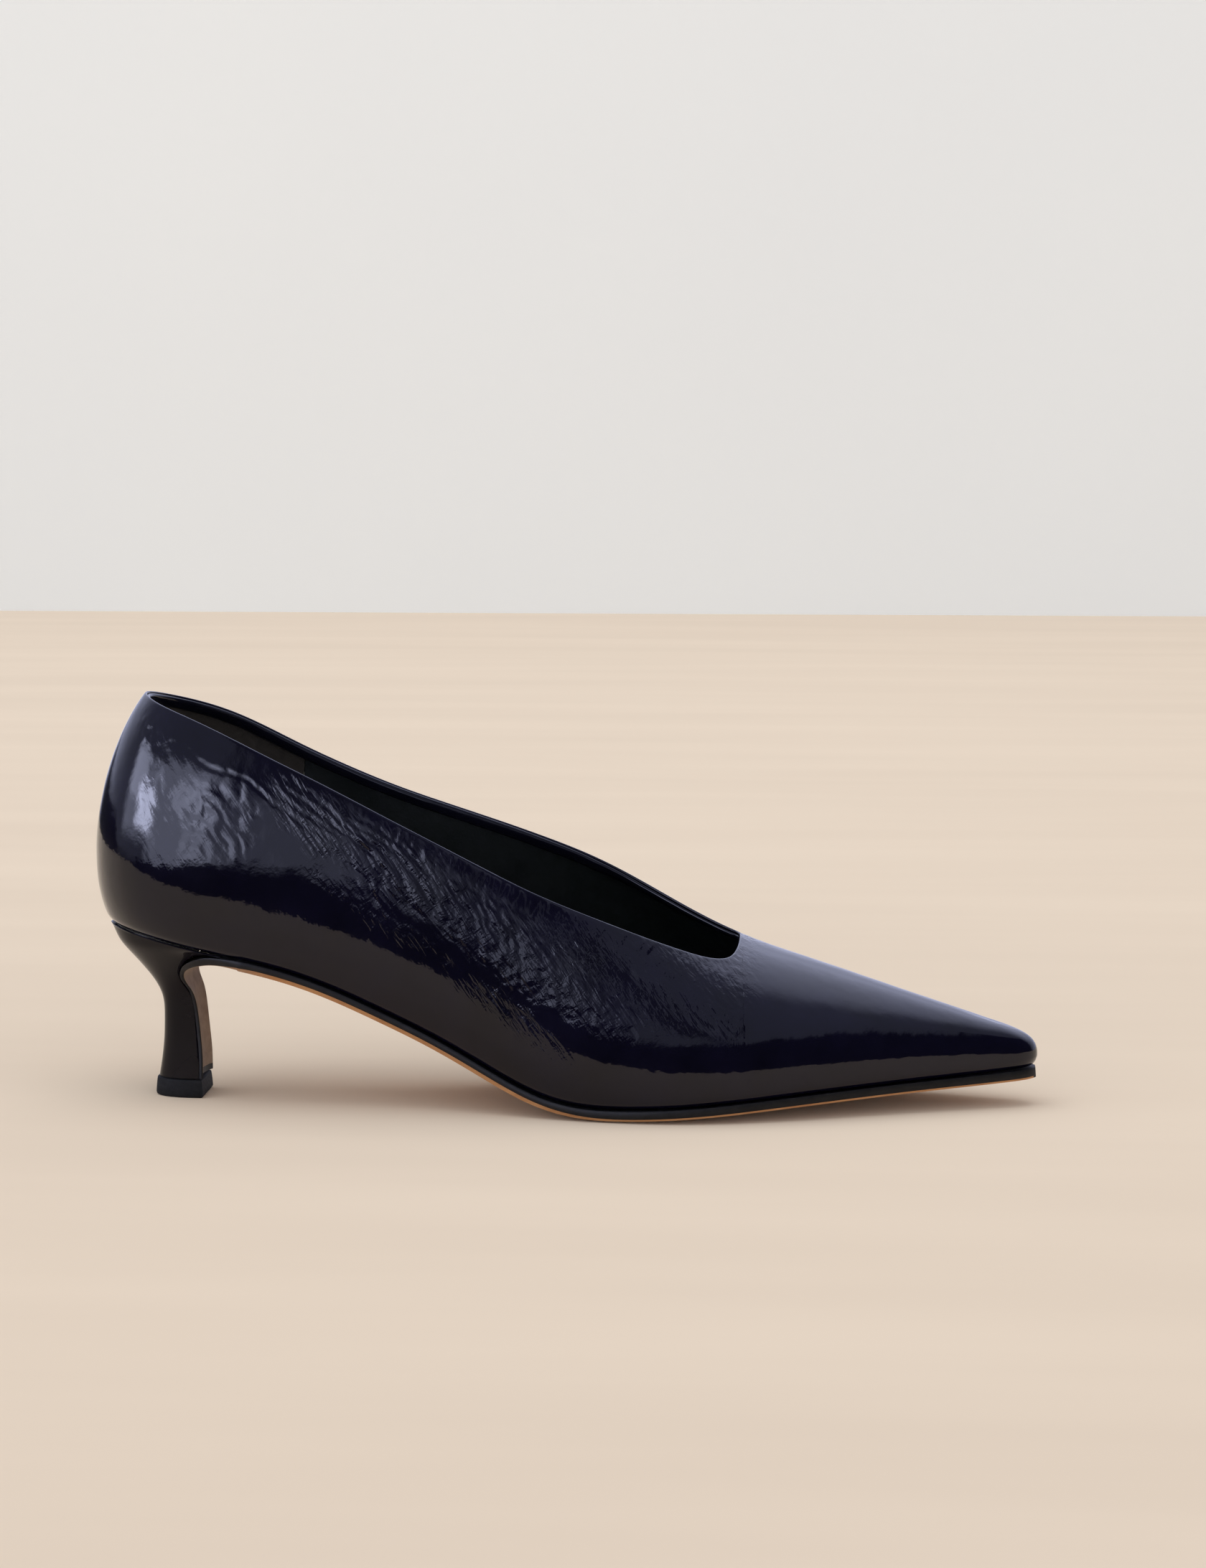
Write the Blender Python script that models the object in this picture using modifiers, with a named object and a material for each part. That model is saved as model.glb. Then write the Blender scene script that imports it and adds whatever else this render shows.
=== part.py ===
"""A kitten-heeled pointed pump for the right foot, built up from the pieces that a shoemaker assembles.

Frame: millimetres in the tables, metres in the scene. +X runs from heel to toe, +Y to the inner (medial)
side, +Z up. The origin is the centre of the heel's tread, on the floor.

The upper is drawn on the surface of the last. u runs round the shoe along the feather line, the edge where
the upper turns under: 0 at the back of the heel, negative along the outer (lateral) side, positive along the
inner side, both ending at the toe tip. v climbs a section: 0 to 1 is the lasting margin under the foot, 1 to 2
the turned edge, 2 to 3 the wall up to its widest line, 3 to 4 on over the top of the last to its ridge.
"""

import math

import bmesh
import bpy
import numpy as np
from mathutils import Vector

MM = 0.001

# ---------------------------------------------------------------- driving dimensions
GAP = 0.3  # between neighbouring pieces
UPPER_T = 0.8
LINING_T = 0.7
COUNTER_T = 0.8
PUFF_T = 0.6
TAPE_T = 0.3
INSOLE_T = 1.5
SHANK_T = 1.1
SOCK_T = 0.8
CUSHION_T = 1.6
SOLE_T = 2.7
TOPLIFT_T = 5.2
COVER_T = 0.8
WELD_MM = 0.001
THROAT_X = 157.5  # front end of the foot opening
PUFF_X = 196.0  # back edge of the toe puff
EDGE_ROUND = 2.2  # how far the turned edge of the upper reaches along wall and margin
LINING_DROP = 3.0  # the linings stop this far below the topline
BINDING_W = 2.4
BINDING_T = 0.6
BAND_LEAN = 0.12  # how much the bands inside the topline lean in as they go down
SEAT_LIFT = 3.5  # the linings stand on the insole board from this lift up
INSOLE_LOW = UPPER_T + GAP
INSOLE_HIGH = INSOLE_LOW + INSOLE_T
HEEL_CURVE_U = 44.0
COUNTER_V = 3.42
COUNTER_DROP = 6.0  # the counter stays at least this far below the topline
SOLE_PROUD = 0.3  # how far the sole's edge stands out beyond the feather line
SOLE_TIP = 239.4
STEP_X = 7.5  # spacing of the sections of the bottom pieces
FILLER_GAP = 0.6  # between the bottom filler and the lasting margins
SHANK_X = (-6.0, 92.0)
SHANK_W = 11.0
SHANK_SUNK = 0.4  # how far the shank stands clear below the insole board's underside
NAILS = ((-8.0, -5.0), (-8.0, 5.0), (-1.0, -9.0), (-1.0, 9.0))
NAIL_L = 8.0
SCREW = (0.0, 0.0)
SCREW_L = 16.0
RIVETS = (34.0, 62.0)
DOWEL_X = -0.6
DOWEL_TOP = 27.0
WING_X = 15.0  # the cover's side wings run out here, between upper and sole
TREAD_FRONT = 7.3
TREAD_BACK = -7.2
TREAD_HALF = 8.6

# Stations along the feather line: x, half-width lateral, half-width medial, rise of the widest line above
# it, bulge of that line lateral and medial, x where the section meets the ridge.
STATIONS = np.array(
    [
        (-19.5, 0.0, 0.0, 19.0, 3.6, 3.6, 8.0),
        (-16.8, 10.6, 10.6, 19.0, 3.8, 3.8, 9.5),
        (-9.2, 19.4, 19.0, 19.0, 4.2, 4.2, 13.0),
        (3.0, 24.6, 23.8, 19.5, 4.3, 4.3, 18.5),
        (20.0, 25.5, 23.6, 20.5, 4.6, 4.8, 29.0),
        (42.0, 24.8, 20.6, 22.5, 5.2, 5.6, 46.0),
        (66.0, 25.2, 18.8, 23.5, 5.6, 6.4, 67.0),
        (90.0, 28.6, 22.0, 21.5, 4.8, 5.8, 90.0),
        (112.0, 33.8, 28.2, 16.5, 3.6, 4.2, 111.0),
        (132.0, 37.2, 33.4, 12.0, 2.6, 3.0, 130.5),
        (150.0, 36.8, 34.2, 10.0, 2.1, 2.3, 148.5),
        (168.0, 32.4, 30.8, 9.0, 1.9, 2.0, 166.0),
        (186.0, 25.6, 25.0, 8.0, 1.7, 1.7, 183.0),
        (204.0, 18.2, 18.0, 7.0, 1.4, 1.4, 199.0),
        (220.0, 12.0, 11.8, 5.8, 1.1, 1.1, 212.0),
        (232.0, 7.4, 7.2, 4.6, 0.8, 0.8, 220.5),
        (237.6, 4.2, 4.1, 3.8, 0.6, 0.6, 225.0),
        (239.5, 0.0, 0.0, 3.4, 0.5, 0.5, 226.5),
    ]
)
# Height of the feather line along x.
FEATHER = np.array(
    [
        (-19.5, 50.2),
        (-8.0, 48.1),
        (6.0, 45.1),
        (20.0, 42.1),
        (32.0, 39.1),
        (45.0, 34.6),
        (60.0, 28.0),
        (76.0, 20.4),
        (90.0, 12.9),
        (102.0, 7.1),
        (114.0, 4.1),
        (128.0, 3.7),
        (145.0, 4.6),
        (165.0, 6.3),
        (188.0, 8.0),
        (212.0, 9.4),
        (232.0, 10.5),
        (242.0, 11.2),
    ]
)
# The ridge of the last: x, sideways place, height. Behind the throat it is only the last's crest.
RIDGE = np.array(
    [
        (0.0, 0.0, 124.0),
        (20.0, 0.8, 121.5),
        (45.0, 2.4, 115.0),
        (70.0, 4.2, 105.5),
        (95.0, 5.8, 90.5),
        (115.0, 6.8, 74.5),
        (135.0, 7.2, 58.5),
        (148.0, 6.9, 50.3),
        (157.5, 6.3, 45.9),
        (170.0, 5.2, 41.6),
        (185.0, 3.8, 37.0),
        (200.0, 2.3, 32.2),
        (213.0, 1.1, 28.1),
        (226.5, 0.2, 23.6),
    ]
)
# Roundness of the section from the widest line to the ridge: x of the ridge, upright handle, level handle.
ROUND = np.array(
    [
        (0.0, 0.42, 0.55),
        (20.0, 0.46, 0.56),
        (45.0, 0.58, 0.62),
        (90.0, 0.62, 0.66),
        (130.0, 0.60, 0.60),
        (157.5, 0.56, 0.52),
        (190.0, 0.55, 0.48),
        (226.5, 0.64, 0.50),
    ]
)
# Where the topline cuts a section, as a share of the way from widest line to ridge, against the square root
# of the distance behind the throat: root, lateral, medial.
TOPLINE = np.array(
    [
        (0.0, 1.0, 1.0),
        (0.7, 0.84, 0.95),
        (1.5, 0.70, 0.90),
        (2.3, 0.63, 0.87),
        (3.2, 0.59, 0.84),
        (4.0, 0.565, 0.80),
        (5.0, 0.525, 0.735),
        (6.5, 0.445, 0.61),
        (8.0, 0.36, 0.465),
        (9.5, 0.325, 0.365),
        (11.0, 0.425, 0.43),
        (11.7, 0.535, 0.55),
        (12.25, 0.635, 0.635),
    ]
)
# Width of the lasting margin along x.
MARGIN = np.array(
    [
        (-20.0, 7.5),
        (20.0, 8.5),
        (70.0, 8.5),
        (130.0, 12.0),
        (190.0, 10.0),
        (215.0, 6.5),
        (230.0, 4.0),
        (240.0, 3.0),
    ]
)
# How far the middle of the bottom hangs below its edges.
CROWN = np.array(
    [
        (-20.0, 0.6),
        (40.0, 0.6),
        (90.0, 0.9),
        (125.0, 1.3),
        (150.0, 1.2),
        (190.0, 0.8),
        (240.0, 0.0),
    ]
)

# The sole's flap down the heel breast, from its foot up round the curve to the waist: outer face x and z,
# inner face x and z, half-width lateral and medial, how far the middle stands back.
BREAST = np.array(
    [
        (7.4, 5.5, 6.3, 5.5, 8.2, 8.2, 1.4),
        (7.3, 12.0, 6.2, 12.0, 7.8, 7.8, 1.7),
        (6.8, 18.0, 5.7, 18.1, 7.5, 7.5, 1.8),
        (6.2, 24.0, 5.1, 24.1, 7.6, 7.6, 1.6),
        (5.3, 29.0, 4.2, 29.3, 8.3, 8.3, 1.2),
        (4.0, 32.0, 2.9, 32.3, 9.7, 9.7, 0.8),
        (3.1, 34.6, 1.9, 34.7, 11.8, 11.8, 0.4),
        (3.9, 36.9, 2.7, 37.7, 14.8, 14.8, 0.1),
        (7.0, 38.7, 5.4, 40.0, 18.6, 18.6, 0.0),
        (13.0, 39.9, 11.0, 41.9, 22.4, 21.6, 0.0),
        (20.0, 39.2, 19.6, 41.7, 25.4, 23.4, 0.0),
    ]
)
# Sections of the covered heel from the top-lift up: rim x and z, back x and z, half-width.
HEEL = np.array(
    [
        (5.9, 5.5, -6.2, 5.5, 8.2),
        (5.8, 12.0, -5.2, 12.0, 7.8),
        (5.3, 18.0, -4.7, 18.0, 7.5),
        (4.7, 24.0, -4.6, 24.0, 7.6),
        (3.7, 29.4, -5.6, 29.8, 8.4),
        (1.3, 34.9, -9.6, 36.3, 11.8),
        (4.5, 40.6, -14.6, 42.2, 18.4),
        (9.4, 42.7, -17.2, 46.0, 22.4),
    ]
)
CORE_TOP = (6.6, 41.9, -16.9, 46.0, 20.2)  # the same, for the top of the core


# ---------------------------------------------------------------- curves
def cubic(knots, values, period=None):
    """A smooth curve through values at knots, as a function of one number or an array. period closes it."""
    knots, values = np.asarray(knots, float), np.asarray(values, float)
    if period is not None:
        knots = np.append(knots, knots[0] + period)
        values = np.append(values, values[0])
    count, step = len(knots), np.diff(knots)
    system, right = np.zeros((count, count)), np.zeros(count)
    slope = np.diff(values) / step
    for i in range(1, count - 1):
        system[i, i - 1 : i + 2] = step[i - 1], 2 * (step[i - 1] + step[i]), step[i]
        right[i] = 6 * (slope[i] - slope[i - 1])
    if period is None:
        system[0, 0] = system[-1, -1] = 1
    else:
        system[0, :2], system[0, -2] = (2 * (step[0] + step[-1]), step[0]), step[-1]
        right[0] = 6 * (slope[0] - slope[-1])
        system[-1, 0], system[-1, -1] = 1, -1
    bend = np.linalg.solve(system, right)

    def at(x):
        x = np.asarray(x, float)
        if period is not None:
            x = knots[0] + np.mod(x - knots[0], period)
        i = np.clip(np.searchsorted(knots, x, side="right") - 1, 0, count - 2)
        a, b = (knots[i + 1] - x) / step[i], (x - knots[i]) / step[i]
        lift = ((a**3 - a) * bend[i] + (b**3 - b) * bend[i + 1]) * step[i] ** 2 / 6
        return a * values[i] + b * values[i + 1] + lift

    return at


def smooth(low, high, x):
    """0 below low, 1 above high, and an even ramp between them."""
    share = np.clip((np.asarray(x, float) - low) / (high - low), 0, 1)
    return share * share * (3 - 2 * share)


feather_z = cubic(FEATHER[:, 0], FEATHER[:, 1])
ridge_y = cubic(RIDGE[:, 0], RIDGE[:, 1])
ridge_z = cubic(RIDGE[:, 0], RIDGE[:, 2])
upright_handle = cubic(ROUND[:, 0], ROUND[:, 1])
level_handle = cubic(ROUND[:, 0], ROUND[:, 2])
topline_lateral = cubic(TOPLINE[:, 0], TOPLINE[:, 1])
topline_medial = cubic(TOPLINE[:, 0], TOPLINE[:, 2])
margin_width = cubic(MARGIN[:, 0], MARGIN[:, 1])
crown_depth = cubic(CROWN[:, 0], CROWN[:, 1])

# u is measured in millimetres along the outline half-way between the two sides.
_mean_width = STATIONS[:, 1:3].mean(axis=1)
STATION_U = np.append(0, np.cumsum(np.hypot(np.diff(STATIONS[:, 0]), np.diff(_mean_width))))
TOE_U = STATION_U[-1]


def round_curve(lateral, medial):
    """A closed curve in u from station values on each side: both lists run from heel to toe."""
    knots = np.concatenate([-STATION_U[:0:-1], STATION_U[:-1]])
    return cubic(knots, np.concatenate([lateral[:0:-1], medial[:-1]]), period=2 * TOE_U)


feather_x = round_curve(STATIONS[:, 0], STATIONS[:, 0])
feather_y = round_curve(-STATIONS[:, 1], STATIONS[:, 2])
widest_rise = round_curve(STATIONS[:, 3], STATIONS[:, 3])
widest_bulge = round_curve(STATIONS[:, 4], STATIONS[:, 5])
section_ridge_x = round_curve(STATIONS[:, 6], STATIONS[:, 6])


def u_at(curve, value):
    """The u on the medial side where a curve that grows from heel to toe reaches a value."""
    low, high = 0.0, TOE_U
    for _ in range(50):
        middle = (low + high) / 2
        low, high = (middle, high) if curve(middle) < value else (low, middle)
    return low


THROAT_U = u_at(section_ridge_x, THROAT_X)
LINING_THROAT_U = u_at(section_ridge_x, THROAT_X + LINING_DROP)


def column_places():
    """The places along one side, from heel to toe, at which every layer of the upper has its columns."""
    heel = np.linspace(0, HEEL_CURVE_U, 9)
    waist = np.linspace(HEEL_CURVE_U, THROAT_U - 22, 14)
    throat = THROAT_U - 22 * np.linspace(1, 0, 7) ** 2
    toe = LINING_THROAT_U + (TOE_U - LINING_THROAT_U) * np.sin(np.linspace(0, math.pi / 2, 11))
    return np.concatenate([heel[:-1], waist[:-1], throat, toe])


COLUMN_U = column_places()
COUNTER_U = COLUMN_U[10]  # the counter reaches to here on each side
GRIP_U = COLUMN_U[11]  # where the heel grip meets the vamp lining
PUFF_U = COLUMN_U[np.searchsorted(COLUMN_U, u_at(feather_x, PUFF_X))]


# ---------------------------------------------------------------- the last
def outward(u):
    """Unit normal of the feather outline in plan, pointing out of the shoe."""
    du = 0.05
    dx = feather_x(u + du) - feather_x(u - du)
    dy = feather_y(u + du) - feather_y(u - du)
    length = np.hypot(dx, dy)
    return -dy / length, dx / length


def bottom(x, y, lift=0.0, crowned=True):
    """The point at plan place x, y, lifted square to the foot's line from the underside of the upper."""
    slope = feather_z(x + 0.5) - feather_z(x - 0.5)
    length = np.sqrt(1 + slope**2)
    half = np.interp(x, STATIONS[:, 0], np.maximum(_mean_width, 3.0))
    sag = crown_depth(x) * np.clip(1 - (y / half) ** 2, 0, 1) if crowned else 0
    return np.stack([x - lift * slope / length, y + 0 * x, feather_z(x) - sag + lift / length], -1)


def lift_of(points):
    """How far points stand from the underside of the lasted upper, square to the foot's line."""
    x = points[..., 0]
    slope = feather_z(x + 0.5) - feather_z(x - 0.5)
    return (points[..., 2] - feather_z(x)) / np.sqrt(1 + slope**2)


def bezier(points, share):
    """Point at share along a Bezier curve through arrays of control points."""
    count = len(points) - 1
    total = 0
    for i, point in enumerate(points):
        total = total + math.comb(count, i) * share**i * (1 - share) ** (count - i) * point
    return total


def skin(u, v):
    """Outer surface of the upper for arrays u and v of one shape: points in a last axis of three."""
    u, v = np.broadcast_arrays(np.asarray(u, float), np.asarray(v, float))
    fx, fy = feather_x(u), feather_y(u)
    nx, ny = outward(u)
    rise, bulge = widest_rise(u), widest_bulge(u)
    feather = np.stack([fx, fy, feather_z(fx)], -1)
    wide_foot = feather + np.stack([nx * bulge, ny * bulge, 0.35 * rise], -1)
    widest = feather + np.stack([nx * bulge, ny * bulge, rise], -1)

    margin = np.clip(1 - v, 0, 1) * (margin_width(fx) - EDGE_ROUND) + EDGE_ROUND
    under = bottom(fx - nx * margin, fy - ny * margin)
    start = EDGE_ROUND / (2 * np.linalg.norm(wide_foot - feather, axis=-1))[..., None]
    edge_end = bezier((feather, wide_foot, widest), start)
    edge_start = bottom(fx - nx * EDGE_ROUND, fy - ny * EDGE_ROUND)
    edge = bezier((edge_start, feather, edge_end), np.clip(v - 1, 0, 1)[..., None])
    low_share = start + (1 - start) * np.clip(v - 2, 0, 1)[..., None]
    low_wall = bezier((feather, wide_foot, widest), low_share)

    rx = section_ridge_x(u)
    ridge = np.stack([rx, ridge_y(rx), ridge_z(rx)], -1)
    fall = (ridge_z(rx + 0.5) - ridge_z(rx - 0.5))[..., None]
    reach = level_handle(rx)[..., None] * (widest - ridge)
    over = ridge + np.concatenate([reach[..., :2], fall * reach[..., :1]], -1)
    above = widest + np.stack([0 * rx, 0 * rx, upright_handle(rx) * (ridge_z(rx) - widest[..., 2])], -1)
    high_wall = bezier((widest, above, over, ridge), (v - 3)[..., None])

    height = v[..., None]
    return np.where(height < 1, under, np.where(height < 2, edge, np.where(height < 3, low_wall, high_wall)))


def inward(u, v):
    """Unit normal of the skin, pointing into the shoe."""
    du, dv = 0.2, 0.004
    along = skin(u + du, v) - skin(u - du, v)
    up = skin(u, v + dv) - skin(u, np.maximum(v - dv, 0))
    normal = np.cross(along, up)
    rx = section_ridge_x(u)
    fall = ridge_z(rx + 0.5) - ridge_z(rx - 0.5)
    on_ridge = (v > 4 - 1e-6)[..., None]
    normal = np.where(on_ridge, np.stack([fall, 0 * fall, -1 + 0 * fall], -1), normal)
    return normal / np.linalg.norm(normal, axis=-1, keepdims=True)


def topline_v(u, lowered=0.0):
    """Where the topline cuts the sections, or an edge lowered by some mm from it all round."""
    behind = THROAT_X - section_ridge_x(u)
    root = np.sqrt(np.clip(behind + lowered * (1 - smooth(0, 40, behind)), 0, None))
    share = np.where(u < 0, topline_lateral(root), topline_medial(root))
    rise = np.linalg.norm(skin(u, 4 + 0 * u) - skin(u, 3 + 0 * u), axis=-1)
    return 3 + share - lowered / rise * smooth(0, 1.5, root)


def v_at_lift(u, lift):
    """How far up the wall the skin stands a given lift above the bottom."""
    low, high = 2 + 0 * u, 3.7 + 0 * u
    for _ in range(30):
        middle = (low + high) / 2
        below = lift_of(skin(u, middle)) < lift
        low, high = np.where(below, middle, low), np.where(below, high, middle)
    return low


def counter_zone(u, v):
    """1 where the heel counter lies, 0 beyond it."""
    return (1 - smooth(COUNTER_U, COUNTER_U + 14, np.abs(u))) * (1 - smooth(COUNTER_V, COUNTER_V + 0.2, v))


def puff_zone(u):
    """1 where the toe puff lies, 0 behind it."""
    return smooth(-12, 0, np.abs(u) - PUFF_U)


def lining_depth(u, v):
    """How far the lining's outer face lies inside the skin."""
    return UPPER_T + 1.5 * GAP + (COUNTER_T + GAP) * counter_zone(u, v) + (PUFF_T + GAP) * puff_zone(u)


def offset(u, v, depth):
    return skin(u, v) + inward(u, v) * np.asarray(depth)[..., None]


# ---------------------------------------------------------------- objects
def start_scene():
    for obj in list(bpy.data.objects):
        bpy.data.objects.remove(obj, do_unlink=True)
    parts = bpy.data.collections.new("high_heel_pump")
    cutters = bpy.data.collections.new("cutters")
    for collection in (parts, cutters):
        bpy.context.scene.collection.children.link(collection)
    cutters.hide_render = True
    return parts, cutters


PARTS, CUTTERS = start_scene()


def material(name, colour, roughness, metallic=0.0):
    made = bpy.data.materials.new(name)
    made.use_nodes = True
    shader = made.node_tree.nodes["Principled BSDF"]
    shader.inputs["Base Color"].default_value = (*colour, 1)
    shader.inputs["Roughness"].default_value = roughness
    shader.inputs["Metallic"].default_value = metallic
    return made


PATENT = material("navy_patent_leather", (0.012, 0.012, 0.022), 0.12)
PATENT_TRIM = material("navy_patent_trim", (0.012, 0.012, 0.022), 0.12)
LINING = material("black_lining_leather", (0.020, 0.023, 0.022), 0.55)
SUEDE = material("grey_lining_suede", (0.050, 0.046, 0.044), 0.90)
SOLE_LEATHER = material("tan_sole_leather", (0.42, 0.26, 0.16), 0.50)
BOARD = material("insole_board", (0.30, 0.22, 0.15), 0.85)
FOAM = material("latex_foam", (0.62, 0.57, 0.48), 0.95)
CORK = material("cork_filler", (0.36, 0.24, 0.14), 0.90)
STIFFENER = material("stiffener_board", (0.52, 0.47, 0.38), 0.85)
TAPE = material("nylon_tape", (0.05, 0.05, 0.06), 0.70)
PLASTIC = material("heel_plastic", (0.06, 0.06, 0.07), 0.45)
RUBBER = material("black_top_lift_rubber", (0.015, 0.016, 0.017), 0.75)
STEEL = material("shank_steel", (0.50, 0.50, 0.50), 0.35, 1.0)


def add_object(name, mesh, finish, collection=PARTS):
    obj = bpy.data.objects.new(name, mesh)
    collection.objects.link(obj)
    if finish:
        mesh.materials.append(finish)
    return obj


def add_mesh(name, points, faces, finish):
    """A closed body from points in millimetres and faces, welded, with its faces turned outwards."""
    mesh = bpy.data.meshes.new(name)
    mesh.from_pydata((np.asarray(points).reshape(-1, 3) * MM).tolist(), [], faces)
    body = bmesh.new()
    body.from_mesh(mesh)
    bmesh.ops.remove_doubles(body, verts=body.verts, dist=WELD_MM * MM)
    bmesh.ops.recalc_face_normals(body, faces=body.faces)
    if body.calc_volume(signed=True) < 0:
        bmesh.ops.reverse_faces(body, faces=body.faces)
    body.to_mesh(mesh)
    body.free()
    mesh.shade_smooth()
    mesh.set_sharp_from_angle(angle=math.radians(35))
    return add_object(name, mesh, finish)


def shell(name, outer, inner, finish, ends=True, top_open=None):
    """A sheet between two grids of points, columns by rows. top_open marks columns with a free top edge."""
    columns, rows = outer.shape[:2]
    count = columns * rows
    top_open = np.ones(columns, bool) if top_open is None else top_open
    faces = []
    for i in range(columns - 1):
        for j in range(rows - 1):
            a, b = i * rows + j, (i + 1) * rows + j
            faces += [(a, b, b + 1, a + 1), (count + a, count + a + 1, count + b + 1, count + b)]
        low, high = (i * rows, (i + 1) * rows), (i * rows + rows - 1, (i + 1) * rows + rows - 1)
        faces.append((low[0], low[1], count + low[1], count + low[0]))
        if top_open[i] and top_open[i + 1]:
            faces.append((high[0], high[1], count + high[1], count + high[0]))
    if ends:
        for i in (0, columns - 1):
            for j in range(rows - 1):
                a = i * rows + j
                faces.append((a, a + 1, count + a + 1, count + a))
    return add_mesh(name, np.concatenate([outer.reshape(-1, 3), inner.reshape(-1, 3)]), faces, finish)


def loft(name, rings, finish, closed=False):
    """One body through a row of outlines with equal numbers of points, capped unless the row is closed."""
    count, size = rings.shape[:2]
    faces = []
    for i in range(count if closed else count - 1):
        here, there = i * size, (i + 1) % count * size
        for j in range(size):
            k = (j + 1) % size
            faces.append((here + j, here + k, there + k, there + j))
    if not closed:
        faces += [tuple(range(size)), tuple(range((count - 1) * size, count * size))]
    return add_mesh(name, rings, faces, finish)


def turned(name, profile, place, axis, finish, steps=16, ring=False):
    """A body turned round an axis, from (radius, height) points, top down. A ring's profile is closed."""
    mesh = bpy.data.meshes.new(name)
    edges = [(i, i + 1) for i in range(len(profile) - 1)]
    if ring:
        edges.append((len(profile) - 1, 0))
    mesh.from_pydata([(radius * MM, 0, height * MM) for radius, height in profile], edges, [])
    obj = add_object(name, mesh, finish, PARTS if finish else CUTTERS)
    obj.location = Vector(place) * MM
    obj.rotation_euler = Vector((0, 0, 1)).rotation_difference(Vector(axis)).to_euler()
    screw = obj.modifiers.new("turn", "SCREW")
    screw.steps = screw.render_steps = steps
    screw.use_merge_vertices = True
    screw.merge_threshold = WELD_MM * MM
    if not finish:
        obj.hide_render = True
        obj.display_type = "WIRE"
    return obj


def cut(obj, cutter):
    """Cuts one body with another."""
    modifier = obj.modifiers.new(f"cut_{cutter.name}", "BOOLEAN")
    modifier.object = cutter
    modifier.operation = "DIFFERENCE"


def stations(low, high):
    """Places along x for the pieces of the bottom, on one shared spacing, closer at rounded ends."""
    shared = np.arange(math.ceil((low + 4) / STEP_X), math.floor((high - 4) / STEP_X) + 1) * STEP_X
    return np.concatenate([[low, low + 0.8, low + 2.4], shared, [high - 2.4, high - 0.8, high]])


# ---------------------------------------------------------------- the upper and what lines it
def lined_rows(u, low_v, top_v, below, above):
    """v for every column and row: some rows up to the widest line, the rest from there to the top."""
    low = np.linspace(0, 1, below + 1)[None, :]
    high = np.linspace(0, 1, above + 1)[None, 1:]
    low_v, top_v = np.asarray(low_v)[:, None], np.asarray(top_v)[:, None]
    middle = np.maximum(3, low_v + 0.12)
    return np.concatenate([low_v + (middle - low_v) * low, middle + (top_v - middle) * high], 1)


def add_upper():
    """One cut of patent leather, lasted over everything and turned under all round."""
    u = np.concatenate([-COLUMN_U[:0:-1], COLUMN_U])
    margin = np.array([0.0, 0.5, 1.0, 1.35, 1.7])
    wall = lined_rows(u, 2 + 0 * u, topline_v(u), 3, 6)
    v = np.concatenate([np.repeat(margin[None, :], len(u), 0), wall], 1)
    u = np.repeat(u[:, None], v.shape[1], 1)
    outer, inner = skin(u, v), offset(u, v, UPPER_T + 0 * u)
    shell("upper", outer, inner, PATENT, ends=False, top_open=np.abs(u[:, 0]) < THROAT_U + 1e-6)


def lining_piece(name, u, top_v, depth, thickness, finish, below, above, top_open=None):
    """A layer inside the upper, from the insole board up to top_v, its outer face depth inside the skin."""
    v = lined_rows(u, v_at_lift(u, SEAT_LIFT), top_v, below, above)
    u = np.repeat(u[:, None], v.shape[1], 1)
    depths = depth(u, v)
    shell(name, offset(u, v, depths), offset(u, v, depths + thickness), finish, top_open=top_open)


def add_linings():
    side = COLUMN_U[COLUMN_U >= GRIP_U].copy()
    side[0] += GAP / 2
    u = np.concatenate([side, -side[::-1]])
    open_top = np.abs(u) < LINING_THROAT_U + 1e-6
    lining_piece("vamp_lining", u, topline_v(u, LINING_DROP), lining_depth, LINING_T, LINING, 2, 6, open_top)
    side = COLUMN_U[COLUMN_U <= GRIP_U].copy()
    side[-1] -= GAP / 2
    u = np.concatenate([-side[:0:-1], side])
    lining_piece("heel_grip_lining", u, topline_v(u, LINING_DROP), lining_depth, LINING_T, SUEDE, 2, 6)


def add_stiffeners():
    def under_upper(u, v):
        return UPPER_T + GAP + 0 * u

    side = COLUMN_U[COLUMN_U <= COUNTER_U]
    u = np.concatenate([-side[:0:-1], side])
    top = np.minimum(COUNTER_V, topline_v(u, COUNTER_DROP))
    lining_piece("heel_counter", u, top, under_upper, COUNTER_T, STIFFENER, 2, 3)
    side = COLUMN_U[COLUMN_U >= PUFF_U]
    u = np.concatenate([side, -side[::-1]])
    lining_piece("toe_puff", u, 4 + 0 * u, under_upper, PUFF_T, STIFFENER, 2, 5, np.zeros(len(u), bool))


def topline_band(name, depth, thickness, start, width, finish):
    """A band that runs round inside the topline, width deep, start below the edge."""
    side = COLUMN_U[COLUMN_U < THROAT_U + 1e-6]
    u = np.concatenate([-side[:0:-1], side[:-1]])
    edge, into = skin(u, topline_v(u)), inward(u, topline_v(u))
    along = np.roll(edge, -1, 0) - np.roll(edge, 1, 0)
    down = np.cross(along, into)
    down /= np.linalg.norm(down, axis=-1, keepdims=True)
    low = start + width
    foot = depth + BAND_LEAN * low  # the band leans in with the curve of the last
    corners = ((depth, start), (foot, low), (foot + thickness, low), (depth + thickness, start))
    rings = np.stack([edge + into * inner + down * drop for inner, drop in corners], 1)
    loft(name, rings, finish, closed=True)


# ---------------------------------------------------------------- the bottom
def plan_outline(points):
    """Half-widths of a plan outline along x, as functions: lateral and medial. points are given for u."""
    u = np.linspace(0, TOE_U, 260)
    sides = []
    for side in (-1, 1):
        place = points(side * u)
        sides.append(lambda x, place=place: np.interp(x, place[:, 0], np.abs(place[:, 1])))
    return sides


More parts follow.
